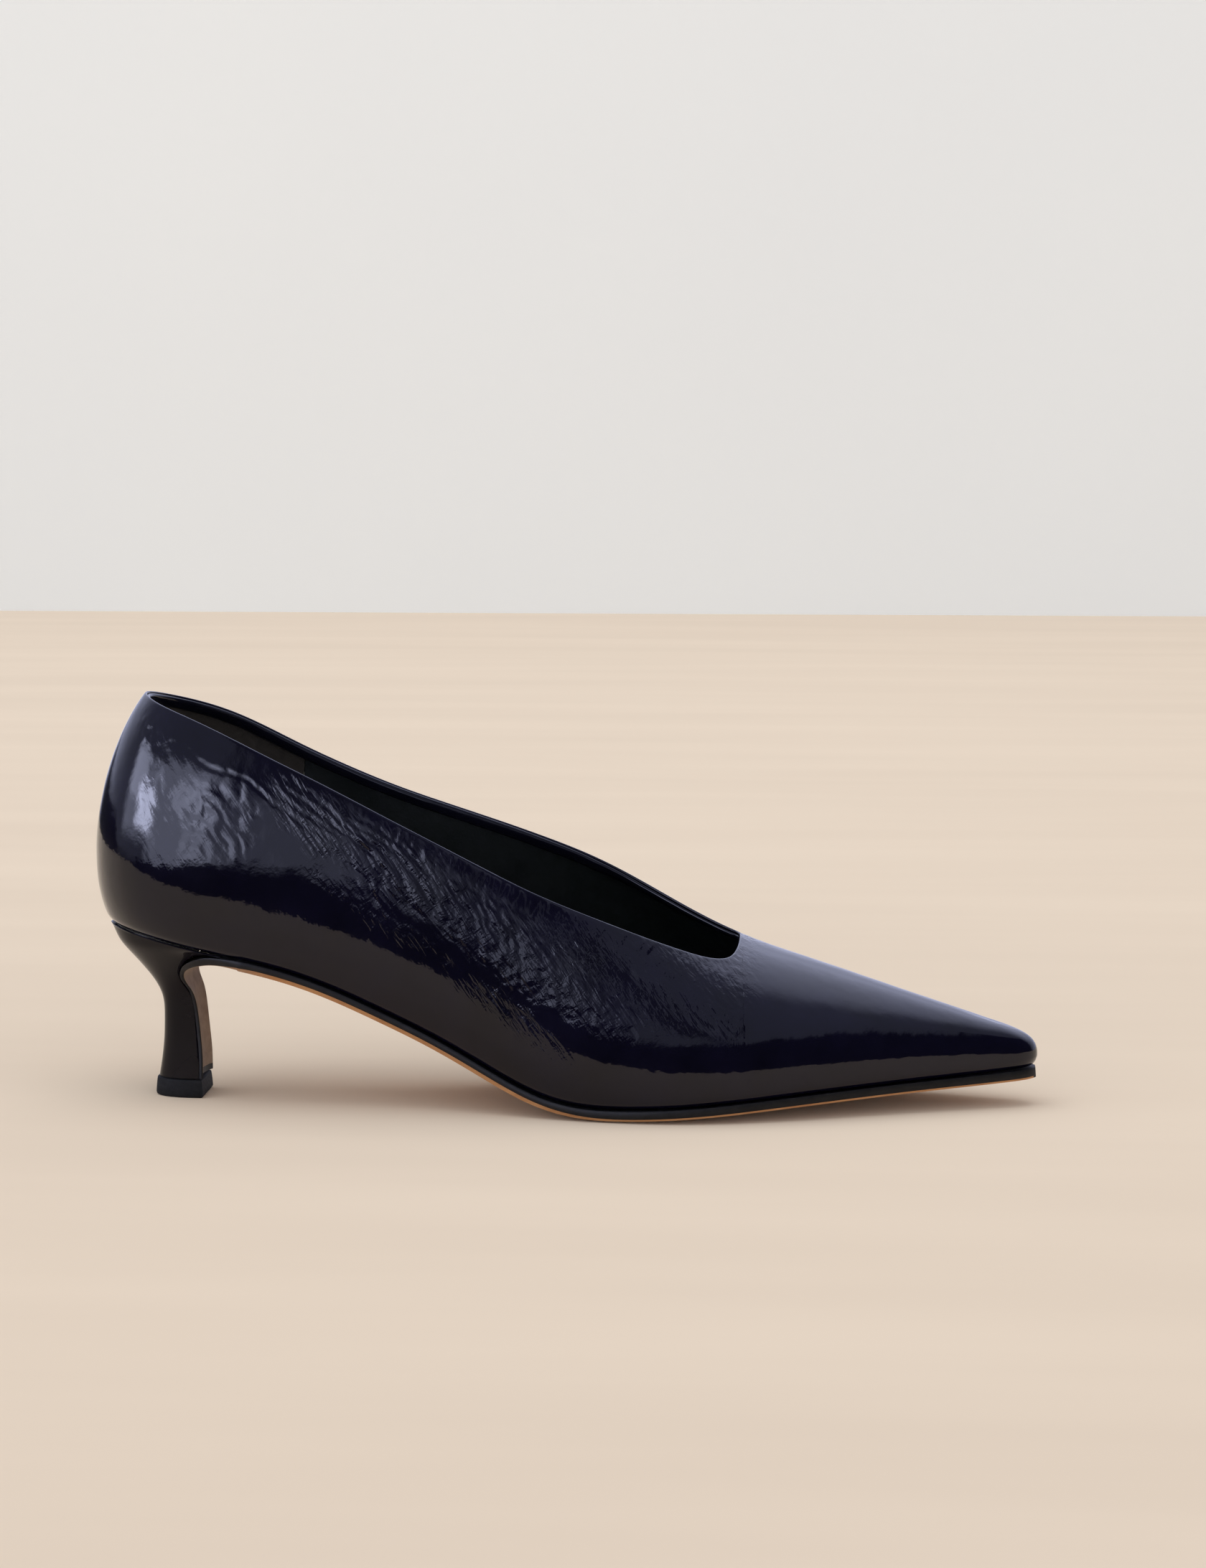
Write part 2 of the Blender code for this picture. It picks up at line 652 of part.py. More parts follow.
def inset_feather(inset):
    def points(u):
        nx, ny = outward(u)
        return np.stack([feather_x(u) - nx * inset, feather_y(u) - ny * inset], -1)

    return points


def inside_lining(lift):
    """The plan outline of the room inside the linings at a given lift."""

    def points(u):
        v = v_at_lift(u, lift)
        return offset(u, v, lining_depth(u, v) + LINING_T + 2.6 * GAP)[:, :2]

    return points


def plate(name, outline, reach, low, high, finish, low_crowned=False):
    """A flat piece of the bottom, between two lifts, with a plan outline."""
    lateral, medial = plan_outline(outline) if callable(outline) else outline
    along, across = stations(*reach), np.linspace(-1, 1, 6)
    y = np.where(across < 0, across * lateral(along)[:, None], across * medial(along)[:, None])
    x = np.repeat(along[:, None], len(across), 1)
    upper, lower = bottom(x, y, high, crowned=False), bottom(x, y, low, crowned=low_crowned)
    return loft(name, np.concatenate([upper, lower[:, ::-1]], 1), finish)


def add_bottom_plates():
    board = plate("insole_board", inset_feather(1.8), (-17.2, 237.0), INSOLE_LOW, INSOLE_HIGH, BOARD)
    low = INSOLE_HIGH + GAP
    plate("sock_foam", inside_lining(low), (-14.5, 206.0), low, low + CUSHION_T, FOAM)
    low += CUSHION_T + GAP
    plate("sock_lining", inside_lining(low), (-14.5, 222.0), low, low + SOCK_T, LINING)

    def filler_points(u):
        return inset_feather(margin_width(feather_x(u)) + FILLER_GAP)(u)

    plate("bottom_filler", filler_points, (96.0, 214.0), 0.0, INSOLE_LOW - GAP, CORK, low_crowned=True)

    def half(x, side):
        middle = np.interp(x, STATIONS[:, 0], (STATIONS[:, 2] - STATIONS[:, 1]) / 2)
        return SHANK_W / 2 + side * middle

    outline = (lambda x: half(x, -1), lambda x: half(x, 1))
    low = INSOLE_LOW - SHANK_SUNK - SHANK_T
    shank = plate("shank", outline, SHANK_X, low, low + SHANK_T, STEEL)
    return board, shank


def sole_rings():
    """Outlines across the sole, from the foot of its breast flap up round the curve and on to the toe."""
    knots = np.arange(len(BREAST))
    rows = [cubic(knots, column)(np.linspace(0, knots[-1], 25)) for column in BREAST.T]
    outer_x, outer_z, inner_x, inner_z, wide_lateral, wide_medial, recess = rows
    across = np.linspace(-1, 1, 7)
    dip = recess[:, None] * (1 - across**2)
    y = np.where(across < 0, across * wide_lateral[:, None], across * wide_medial[:, None])
    sag = crown_depth(20.0) * smooth(8, 20, outer_x)[:, None] * (1 - across**2)
    face = np.stack([outer_x[:, None] - dip, y, outer_z[:, None] - sag], -1)
    back = np.stack([inner_x[:, None] - dip, y, inner_z[:, None] - sag], -1)

    lateral, medial = plan_outline(inset_feather(-SOLE_PROUD))
    along = stations(20.0, SOLE_TIP)[4:]
    y = np.where(across < 0, across * lateral(along)[:, None], across * medial(along)[:, None])
    x = np.repeat(along[:, None], len(across), 1)
    back = np.concatenate([back, bottom(x, y, -GAP)])
    face = np.concatenate([face, bottom(x, y, -GAP - SOLE_T)])
    face[..., 2] = np.maximum(face[..., 2], 0)
    # The lower corners are bevelled: the face stops short and a corner point stands up from the edge.
    corners = face[:, [0, -1]] + 0.36 * (back[:, [0, -1]] - face[:, [0, -1]])
    face[:, [0, -1]] += 0.06 * (face[:, [1, -2]] - face[:, [0, -1]])
    return np.concatenate([back, corners[:, 1:], face[:, ::-1], corners[:, :1]], 1)


# ---------------------------------------------------------------- the heel
def heel_grid(outlines, seat_u, columns=17, rows=15):
    """Outer surface of the heel: rows from the top-lift up, columns from the lateral rim round to the medial."""
    turn = np.linspace(-math.pi / 2, math.pi / 2, columns)
    front_x, front_z, back_x, back_z, half = outlines.T[:, :, None]
    level = np.abs(np.cos(turn)) ** 0.85
    x = front_x - (front_x - back_x) * level
    y = half * np.sign(turn) * np.abs(np.sin(turn)) ** 0.85
    z = front_z + (back_z - front_z) * level
    sections = np.stack([x, y, z], -1)
    u = turn / (math.pi / 2) * seat_u
    nx, ny = outward(u)
    seat = bottom(feather_x(u) - 0.3 * nx, feather_y(u) - 0.3 * ny, -GAP)
    sections = np.concatenate([sections, seat[None]])
    knots, climb = np.arange(len(sections)), np.linspace(0, len(sections) - 1, rows)
    curves = [cubic(knots, values)(climb) for values in sections.reshape(len(sections), -1).T]
    return np.stack(curves, -1).reshape(rows, columns, 3)


def heel_inside(grid, depth):
    """The heel's surface moved inwards, kept under the seat and over the top-lift."""
    normal = np.cross(np.gradient(grid, axis=0), np.gradient(grid, axis=1))
    normal /= np.linalg.norm(normal, axis=-1, keepdims=True)
    middle = grid.mean(axis=1, keepdims=True)
    normal *= np.sign(((middle - grid) * normal).sum(axis=-1, keepdims=True))
    return keep_in_heel(grid + normal * depth)


def keep_in_heel(points):
    seat = bottom(points[..., 0], points[..., 1], -GAP)
    points[..., 2] = np.clip(points[..., 2], TOPLIFT_T + GAP, seat[..., 2])
    return points


def flap_back_x(y, z):
    """How far forward the heel's core may reach: up to the back of the sole's flap, where that is upright."""
    x, height, half, recess = (np.interp(z, BREAST[:7, 3], BREAST[:7, k]) for k in (2, 3, 4, 6))
    limit = x - recess * np.clip(1 - (y / half) ** 2, 0, 1) - 1.7 * GAP
    return np.where(z < 34, limit, np.inf)


def add_heel():
    grid = heel_grid(HEEL, u_at(feather_x, WING_X))
    outer, inner = keep_in_heel(grid.copy()), heel_inside(grid, COVER_T)
    shell("heel_cover", np.swapaxes(outer, 0, 1), np.swapaxes(inner, 0, 1), PATENT_TRIM)

    core = HEEL.copy()
    core[-1] = CORE_TOP
    rear = heel_inside(heel_grid(core, u_at(feather_x, CORE_TOP[0] + 1)), COVER_T + 1.5 * GAP)
    rear[-1] *= (1, 0.94, 1)
    across = np.linspace(0, 1, 8)[1:-1, None]
    first, last = rear[:, :1], rear[:, -1:]
    rings = np.concatenate([rear, last + (first - last) * across], 1)
    rings[..., 0] = np.minimum(rings[..., 0], flap_back_x(rings[..., 1], rings[..., 2]))
    rings[-1] = bottom(rings[-1, :, 0], rings[-1, :, 1], -GAP)
    centre = rings[-1].mean(axis=0)
    caps = [centre + (rings[-1] - centre) * share for share in (0.72, 0.45, 0.22)]
    caps = [bottom(cap[:, 0], cap[:, 1], -GAP) for cap in caps]
    return loft("heel_block", np.concatenate([rings, np.stack(caps)]), PLASTIC)


def add_top_lift():
    turn = np.linspace(-math.pi / 2, math.pi / 2, 21)
    rings = []
    for z, grow in ((0.0, -0.5), (0.5, 0.0), (2.5, -0.15), (TOPLIFT_T - 0.4, -0.45), (TOPLIFT_T, -0.8)):
        front, back, half = TREAD_FRONT + grow, TREAD_BACK - grow, TREAD_HALF + grow
        x = front - (front - back) * np.abs(np.cos(turn)) ** 0.85
        y = half * np.sign(turn) * np.abs(np.sin(turn)) ** 0.85
        rings.append(np.stack([x, y, z + 0 * x], -1))
    return loft("top_lift", np.array(rings), RUBBER)


# ---------------------------------------------------------------- fasteners
def seat_frame(x, y):
    """Place and axis of a fastener whose top is flush with the insole board."""
    slope = float(feather_z(x + 0.5) - feather_z(x - 0.5))
    place = bottom(np.float64(x), np.float64(y), INSOLE_HIGH, crowned=False)
    return place, Vector((-slope, 0, 1)).normalized()


def headed(head, stem, thick, length, clear=0.0):
    """Profile of a headed fastener below its top, or with clear the hole that takes it."""
    top = 2 * clear
    return [
        (0, top),
        (head + clear, top),
        (head + clear, -thick - clear),
        (stem + clear, -thick - clear - (head - stem) * 0.3),
        (stem + clear, -length + stem),
        (0, -length - clear),
    ]


def add_fasteners(board, shank, block, top_lift):
    for i, (x, y) in enumerate(NAILS, 1):
        place, axis = seat_frame(x, y)
        turned(f"heel_nail_{i}", headed(1.3, 0.7, 0.5, NAIL_L), place, axis, STEEL, steps=12)
        hole = turned(f"nail_hole_{i}", headed(1.3, 0.7, 0.5, NAIL_L, GAP), place, axis, None, steps=12)
        cut(board, hole)
        cut(block, hole)
    place, axis = seat_frame(*SCREW)
    turned("heel_screw", headed(2.6, 1.5, 0.8, SCREW_L), place, axis, STEEL)
    hole = turned("screw_hole", headed(2.6, 1.5, 0.8, SCREW_L, GAP), place, axis, None)
    for piece in (board, shank, block):
        cut(piece, hole)
    for i, x in enumerate(RIVETS, 1):
        middle = float(np.interp(x, STATIONS[:, 0], (STATIONS[:, 2] - STATIONS[:, 1]) / 2))
        place, axis = seat_frame(x, middle)
        length = INSOLE_T + SHANK_SUNK + SHANK_T
        turned(f"shank_rivet_{i}", headed(2.2, 1.4, 0.5, length), place, axis, STEEL, steps=12)
        clear = headed(2.2, 1.4, 0.5, length + 0.6, GAP)
        hole = turned(f"rivet_hole_{i}", clear, place, axis, None, steps=12)
        cut(board, hole)
        cut(shank, hole)

    low, high, up = TOPLIFT_T + 2 * GAP, DOWEL_TOP, (0, 0, 1)
    tube = [(1.6, high), (1.6, low), (0.95, low), (0.95, high)]
    turned("heel_dowel", tube, (DOWEL_X, 0, 0), up, STEEL, ring=True)
    bore = [(0, high + GAP), (1.6 + GAP, high + GAP), (1.6 + GAP, low - 2), (0, low - 2)]
    cut(block, turned("dowel_bore", bore, (DOWEL_X, 0, 0), up, None))
    pin = [(0, 16.0), (0.45, 15.6), (0.65, 15.0), (0.65, 2.0), (0, 2.0)]
    turned("top_lift_pin", pin, (DOWEL_X, 0, 0), up, STEEL, steps=12)
    socket = [(0, 8.0), (0.65 + GAP, 8.0), (0.65 + GAP, 2.0 - GAP), (0, 2.0 - GAP)]
    cut(top_lift, turned("pin_socket", socket, (DOWEL_X, 0, 0), up, None, steps=12))


def main():
    add_upper()
    add_linings()
    add_stiffeners()
    clear = UPPER_T + GAP
    topline_band("topline_tape", clear, TAPE_T, 0.4, 1.8, TAPE)
    topline_band("topline_binding", clear + TAPE_T + GAP, BINDING_T, 0.0, BINDING_W, PATENT_TRIM)
    board, shank = add_bottom_plates()
    loft("outsole", sole_rings(), SOLE_LEATHER)
    block = add_heel()
    top_lift = add_top_lift()
    add_fasteners(board, shank, block, top_lift)


main()
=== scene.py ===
"""A kitten-heeled pointed pump in dark navy patent leather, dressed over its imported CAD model.

The frame is the CAD's: +X from heel to toe, +Y to the inner (medial) side, +Z up, origin under the heel.
The tables and surfaces are in millimetres and repeat the last that the CAD is built on. A piece's mesh is
scaled to metres as it is made. The stage is in metres. u runs round the shoe along the feather line, 0 at
the back of the heel, negative on the outer side. v climbs a section: 0 to 1 the lasting margin, 1 to 2 the
turned edge, 2 to 3 the wall up to its widest line, 3 to 4 on over the top of the last to its ridge.
"""

import math

import bmesh
import bpy
import numpy as np
from mathutils import Matrix, Vector


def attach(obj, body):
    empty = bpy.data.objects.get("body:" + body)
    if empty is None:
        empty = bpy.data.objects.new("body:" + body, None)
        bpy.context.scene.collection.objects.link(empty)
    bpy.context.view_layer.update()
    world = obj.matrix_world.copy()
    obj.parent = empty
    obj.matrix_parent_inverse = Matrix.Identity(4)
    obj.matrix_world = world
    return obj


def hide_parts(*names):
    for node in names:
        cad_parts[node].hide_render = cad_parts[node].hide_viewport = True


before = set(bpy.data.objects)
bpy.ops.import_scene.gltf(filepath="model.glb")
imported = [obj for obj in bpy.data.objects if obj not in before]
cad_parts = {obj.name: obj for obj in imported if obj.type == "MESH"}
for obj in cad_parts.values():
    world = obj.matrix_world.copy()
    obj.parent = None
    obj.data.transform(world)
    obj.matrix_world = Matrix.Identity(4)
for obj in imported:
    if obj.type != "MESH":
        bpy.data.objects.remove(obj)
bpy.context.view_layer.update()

MM = 0.001

# -------------------- driving dimensions, as in the CAD
GAP = 0.3
UPPER_T = 0.8
LINING_T = 0.7
COUNTER_T = 0.8
PUFF_T = 0.6
CUSHION_T = 1.6
SOCK_T = 0.8
SOLE_T = 2.7
TOPLIFT_T = 5.2
COVER_T = 0.8
THROAT_X = 157.5
EDGE_ROUND = 2.2
SEAT_LIFT = 3.5
INSOLE_HIGH = 2.6
COUNTER_V = 3.42
COUNTER_U = 63.6
GRIP_U = 63.6  # the suede ends here, one section further back than in the CAD
PUFF_U = 235.4
SOLE_PROUD = 0.3
SOLE_TIP = 239.4
WING_X = 15.0
TREAD_FRONT = 7.3
TREAD_BACK = -7.2
TREAD_HALF = 8.6
SQUARENESS = 0.85  # of the heel's sections: 1 would be an ellipse

# -------------------- what the photo shows beyond the CAD
OUTER_STEP = 0.58  # spacing of the upper's columns on the outer and inner side
INNER_STEP = 1.0
WALL_LOW = 20  # rows up to the widest line and on to the topline
WALL_HIGH = 56
ROLL_HEIGHT = 0.45  # the topline's roll over the upper's cut edge
LINING_DROP = 2.3  # the linings' top edge below the topline, behind the binding
LINING_ROWS = 44
BAND_LEAN = 0.12  # the binding leans into the shoe by this share of its drop
THROAT_CROWD = 22  # columns crowd this near the throat's corner, and over this much of the toe's tip
TIP_CROWD = 32
TIP_RUN = 46  # the tip's columns are as many as this length would have
SOLE_ROUND = 226  # from here on the sole's columns crowd towards its tip
RIM_ROLL = 0.4  # how far the heel cover's edges roll out
RIM_DIP = 0.28  # and how far its top edge dips below the seat
# The heel cover's top, from its rim inwards: share of the thickness and height above the dipped rim.
SEAT_RIM = ((0.12, 0.14), (0.28, 0.24), (0.5, 0.28))
# Section of the topline binding: depth inside the skin and drop below the edge, from its outer corner over
# the tape, down its back, round its foot and up its face.
BINDING_SECTION = (
    (0.85, 0.20), (1, 0.26), (1.3, 0.26), (1.47, 0.5), (1.5, 1.2), (1.5, 2.3), (1.62, 2.62), (1.82, 2.72),
    (2, 2.62), (2.12, 2.3), (2.2, 1.6), (2.2, 0.9), (2.12, 0.35), (1.95, -0.05), (1.7, -0.28),
    (1.4, -0.36), (1.1, -0.30), (0.92, -0.12), (0.85, 0.02),
)
# The sole's painted edge: share of the way down to its corner, and how far it bulges.
EDGE_SECTION = ((0, 0), (0.08, 0.12), (0.25, 0.22), (0.5, 0.26), (0.75, 0.2), (0.93, 0.08), (1, 0))
# The top-lift's outline from the tread up: height, and growth over its nominal size.
LIFT_SECTION = (
    (0, -0.7), (0.12, -0.4), (0.35, -0.12), (0.8, 0), (2.6, -0.12), (4.4, -0.32), (4.85, -0.4),
    (5.05, -0.55), (5.2, -0.9),
)

# Stations along the feather line: x, half-width lateral, half-width medial, rise of the widest line above
# it, bulge of that line lateral and medial, x where the section meets the ridge.
STATIONS = np.array([
    (-19.5, 0, 0, 19, 3.6, 3.6, 8),
    (-16.8, 10.6, 10.6, 19, 3.8, 3.8, 9.5),
    (-9.2, 19.4, 19, 19, 4.2, 4.2, 13),
    (3, 24.6, 23.8, 19.5, 4.3, 4.3, 18.5),
    (20, 25.5, 23.6, 20.5, 4.6, 4.8, 29),
    (42, 24.8, 20.6, 22.5, 5.2, 5.6, 46),
    (66, 25.2, 18.8, 23.5, 5.6, 6.4, 67),
    (90, 28.6, 22, 21.5, 4.8, 5.8, 90),
    (112, 33.8, 28.2, 16.5, 3.6, 4.2, 111),
    (132, 37.2, 33.4, 12, 2.6, 3, 130.5),
    (150, 36.8, 34.2, 10, 2.1, 2.3, 148.5),
    (168, 32.4, 30.8, 9, 1.9, 2, 166),
    (186, 25.6, 25, 8, 1.7, 1.7, 183),
    (204, 18.2, 18, 7, 1.4, 1.4, 199),
    (220, 12, 11.8, 5.8, 1.1, 1.1, 212),
    (232, 7.4, 7.2, 4.6, 0.8, 0.8, 220.5),
    (237.6, 4.2, 4.1, 3.8, 0.6, 0.6, 225),
    (239.5, 0, 0, 3.4, 0.5, 0.5, 226.5),
])
# Height of the feather line along x.
FEATHER = np.array([
    (-19.5, 50.2), (-8, 48.1), (6, 45.1), (20, 42.1), (32, 39.1), (45, 34.6), (60, 28), (76, 20.4),
    (90, 12.9), (102, 7.1), (114, 4.1), (128, 3.7), (145, 4.6), (165, 6.3), (188, 8), (212, 9.4),
    (232, 10.5), (242, 11.2),
])
# The ridge of the last: x, sideways place, height. Behind the throat it is only the last's crest.
RIDGE = np.array([
    (0, 0, 124), (20, 0.8, 121.5), (45, 2.4, 115), (70, 4.2, 105.5), (95, 5.8, 90.5), (115, 6.8, 74.5),
    (135, 7.2, 58.5), (148, 6.9, 50.3), (157.5, 6.3, 45.9), (170, 5.2, 41.6), (185, 3.8, 37),
    (200, 2.3, 32.2), (213, 1.1, 28.1), (226.5, 0.2, 23.6),
])
# Roundness of the section from the widest line to the ridge: x of the ridge, upright handle, level handle.
ROUND = np.array([
    (0, 0.42, 0.55), (20, 0.46, 0.56), (45, 0.58, 0.62), (90, 0.62, 0.66), (130, 0.60, 0.60),
    (157.5, 0.56, 0.52), (190, 0.55, 0.48), (226.5, 0.64, 0.50),
])
# Where the topline cuts a section, as a share of the way from widest line to ridge, against the square root
# of the distance behind the throat: root, lateral, medial.
TOPLINE = np.array([
    (0, 1, 1), (0.7, 0.84, 0.95), (1.5, 0.70, 0.90), (2.3, 0.63, 0.87), (3.2, 0.59, 0.84),
    (4, 0.565, 0.80), (5, 0.525, 0.735), (6.5, 0.445, 0.61), (8, 0.36, 0.465), (9.5, 0.325, 0.365),
    (11, 0.425, 0.43), (11.7, 0.535, 0.55), (12.25, 0.635, 0.635),
])
# Width of the lasting margin along x.
MARGIN = np.array([
    (-20, 7.5), (20, 8.5), (70, 8.5), (130, 12), (190, 10), (215, 6.5), (230, 4), (240, 3),
])
# How far the middle of the bottom hangs below its edges.
CROWN = np.array([
    (-20, 0.6), (40, 0.6), (90, 0.9), (125, 1.3), (150, 1.2), (190, 0.8), (240, 0),
])

# The sole's flap down the heel breast, from its foot up round the curve to the waist: outer face x and z,
# inner face x and z, half-width lateral and medial, how far the middle stands back.
BREAST = np.array([
    (7.4, 5.5, 6.3, 5.5, 8.2, 8.2, 1.4),
    (7.3, 12, 6.2, 12, 7.8, 7.8, 1.7),
    (6.8, 18, 5.7, 18.1, 7.5, 7.5, 1.8),
    (6.2, 24, 5.1, 24.1, 7.6, 7.6, 1.6),
    (5.3, 29, 4.2, 29.3, 8.3, 8.3, 1.2),
    (4, 32, 2.9, 32.3, 9.7, 9.7, 0.8),
    (3.1, 34.6, 1.9, 34.7, 11.8, 11.8, 0.4),
    (3.9, 36.9, 2.7, 37.7, 14.8, 14.8, 0.1),
    (7, 38.7, 5.4, 40, 18.6, 18.6, 0),
    (13, 39.9, 11, 41.9, 22.4, 21.6, 0),
    (20, 39.2, 19.6, 41.7, 25.4, 23.4, 0),
])
# Sections of the covered heel from the top-lift up: rim x and z, back x and z, half-width.
HEEL = np.array([
    (5.9, 5.5, -6.2, 5.5, 8.2),
    (5.8, 12, -5.2, 12, 7.8),
    (5.3, 18, -4.7, 18, 7.5),
    (4.7, 24, -4.6, 24, 7.6),
    (3.7, 29.4, -5.6, 29.8, 8.4),
    (1.3, 34.9, -9.6, 36.3, 11.8),
    (4.5, 40.6, -14.6, 42.2, 18.4),
    (9.4, 42.7, -17.2, 46, 22.4),
])


# -------------------- curves
def cubic(knots, values, period=None):
    """A smooth curve through values at knots, as a function of one number or an array. period closes it."""
    knots, values = np.asarray(knots, float), np.asarray(values, float)
    if period is not None:
        knots = np.append(knots, knots[0] + period)
        values = np.append(values, values[0])
    count, step = len(knots), np.diff(knots)
    system, right = np.zeros((count, count)), np.zeros(count)
    slope = np.diff(values) / step
    for i in range(1, count - 1):
        system[i, i - 1 : i + 2] = step[i - 1], 2 * (step[i - 1] + step[i]), step[i]
        right[i] = 6 * (slope[i] - slope[i - 1])
    if period is None:
        system[0, 0] = system[-1, -1] = 1
    else:
        system[0, :2], system[0, -2] = (2 * (step[0] + step[-1]), step[0]), step[-1]
        right[0] = 6 * (slope[0] - slope[-1])
        system[-1, 0], system[-1, -1] = 1, -1
    bend = np.linalg.solve(system, right)

    def at(x):
        x = np.asarray(x, float)
        if period is not None:
            x = knots[0] + np.mod(x - knots[0], period)
        i = np.clip(np.searchsorted(knots, x, side="right") - 1, 0, count - 2)
        a, b = (knots[i + 1] - x) / step[i], (x - knots[i]) / step[i]
        lift = ((a**3 - a) * bend[i] + (b**3 - b) * bend[i + 1]) * step[i] ** 2 / 6
        return a * values[i] + b * values[i + 1] + lift

    return at


def smooth(low, high, x):
    """0 below low, 1 above high, and an even ramp between them."""
    share = np.clip((np.asarray(x, float) - low) / (high - low), 0, 1)
    return share * share * (3 - 2 * share)


def unit(vectors):
    """The same directions at length 1."""
    return vectors / np.linalg.norm(vectors, axis=-1, keepdims=True)


def slope_at(curve, x):
    """How far a curve rises over the millimetre round x."""
    return curve(x + 0.5) - curve(x - 0.5)


def half_turn(count):
    """Angles from the outer side round to the inner side."""
    return np.linspace(-math.pi / 2, math.pi / 2, count)


feather_z = cubic(FEATHER[:, 0], FEATHER[:, 1])
ridge_y = cubic(RIDGE[:, 0], RIDGE[:, 1])
ridge_z = cubic(RIDGE[:, 0], RIDGE[:, 2])
upright_handle = cubic(ROUND[:, 0], ROUND[:, 1])
level_handle = cubic(ROUND[:, 0], ROUND[:, 2])
topline_lateral = cubic(TOPLINE[:, 0], TOPLINE[:, 1])
topline_medial = cubic(TOPLINE[:, 0], TOPLINE[:, 2])
margin_width = cubic(MARGIN[:, 0], MARGIN[:, 1])
crown_depth = cubic(CROWN[:, 0], CROWN[:, 1])

# u is measured in millimetres along the outline half-way between the two sides.
MEAN_WIDTH = STATIONS[:, 1:3].mean(axis=1)
STATION_U = np.append(0, np.cumsum(np.hypot(np.diff(STATIONS[:, 0]), np.diff(MEAN_WIDTH))))
TOE_U = STATION_U[-1]


def round_curve(lateral, medial):
    """A closed curve in u from station values on each side: both lists run from heel to toe."""
    knots = np.concatenate([-STATION_U[:0:-1], STATION_U[:-1]])
    return cubic(knots, np.concatenate([lateral[:0:-1], medial[:-1]]), period=2 * TOE_U)


feather_x = round_curve(STATIONS[:, 0], STATIONS[:, 0])
feather_y = round_curve(-STATIONS[:, 1], STATIONS[:, 2])
widest_rise = round_curve(STATIONS[:, 3], STATIONS[:, 3])
widest_bulge = round_curve(STATIONS[:, 4], STATIONS[:, 5])
section_ridge_x = round_curve(STATIONS[:, 6], STATIONS[:, 6])


def u_at(curve, value):
    """The u on the medial side where a curve that grows from heel to toe reaches a value."""
    low, high = 0.0, TOE_U
    for _ in range(50):
        middle = (low + high) / 2
        low, high = (middle, high) if curve(middle) < value else (low, middle)
    return low


THROAT_U = u_at(section_ridge_x, THROAT_X)


# -------------------- the last
def outward(u):
    """Unit normal of the feather outline in plan, pointing out of the shoe."""
    du = 0.05
    dx = feather_x(u + du) - feather_x(u - du)
    dy = feather_y(u + du) - feather_y(u - du)
    length = np.hypot(dx, dy)
    return -dy / length, dx / length


def bottom(x, y, lift=0.0, crowned=True):
    """The point at plan place x, y, lifted square to the foot's line from the underside of the upper."""
    slope = slope_at(feather_z, x)
    length = np.sqrt(1 + slope**2)
    half = np.interp(x, STATIONS[:, 0], np.maximum(MEAN_WIDTH, 3.0))
    sag = crown_depth(x) * np.clip(1 - (y / half) ** 2, 0, 1) if crowned else 0
    return np.stack([x - lift * slope / length, y + 0 * x, feather_z(x) - sag + lift / length], -1)


def lift_of(points):
    """How far points stand from the underside of the lasted upper, square to the foot's line."""
    x = points[..., 0]
    return (points[..., 2] - feather_z(x)) / np.sqrt(1 + slope_at(feather_z, x) ** 2)


def bezier(points, share):
    """Point at share along a Bezier curve through arrays of control points."""
    count = len(points) - 1
    total = 0
    for i, point in enumerate(points):
        total = total + math.comb(count, i) * share**i * (1 - share) ** (count - i) * point
    return total


def skin(u, v):
    """Outer surface of the upper at u and v: points in a last axis of three."""
    u, v = np.broadcast_arrays(np.asarray(u, float), np.asarray(v, float))
    fx, fy = feather_x(u), feather_y(u)
    nx, ny = outward(u)
    rise, bulge = widest_rise(u), widest_bulge(u)
    feather = np.stack([fx, fy, feather_z(fx)], -1)
    wide_foot = feather + np.stack([nx * bulge, ny * bulge, 0.35 * rise], -1)
    widest = feather + np.stack([nx * bulge, ny * bulge, rise], -1)

    margin = np.clip(1 - v, 0, 1) * (margin_width(fx) - EDGE_ROUND) + EDGE_ROUND
    under = bottom(fx - nx * margin, fy - ny * margin)
    start = EDGE_ROUND / (2 * np.linalg.norm(wide_foot - feather, axis=-1))[..., None]
    edge_end = bezier((feather, wide_foot, widest), start)
    edge_start = bottom(fx - nx * EDGE_ROUND, fy - ny * EDGE_ROUND)
    edge = bezier((edge_start, feather, edge_end), np.clip(v - 1, 0, 1)[..., None])
    low_share = start + (1 - start) * np.clip(v - 2, 0, 1)[..., None]
    low_wall = bezier((feather, wide_foot, widest), low_share)

    rx = section_ridge_x(u)
    ridge = np.stack([rx, ridge_y(rx), ridge_z(rx)], -1)
    fall = slope_at(ridge_z, rx)[..., None]
    reach = level_handle(rx)[..., None] * (widest - ridge)
    over = ridge + np.concatenate([reach[..., :2], fall * reach[..., :1]], -1)
    above = widest + np.stack([0 * rx, 0 * rx, upright_handle(rx) * (ridge_z(rx) - widest[..., 2])], -1)
    high_wall = bezier((widest, above, over, ridge), (v - 3)[..., None])

    climb = v[..., None]
    wall = np.where(climb < 3, low_wall, high_wall)
    return np.where(climb < 1, under, np.where(climb < 2, edge, wall))


def inward(u, v):
    """Unit normal of the skin, pointing into the shoe."""
    du, dv = 0.2, 0.004
    along = skin(u + du, v) - skin(u - du, v)
    up = skin(u, v + dv) - skin(u, np.maximum(v - dv, 0))
    normal = np.cross(along, up)
    rx = section_ridge_x(u)
    fall = slope_at(ridge_z, rx)
    on_ridge = (v > 4 - 1e-6)[..., None]
    return unit(np.where(on_ridge, np.stack([fall, 0 * fall, -1 + 0 * fall], -1), normal))


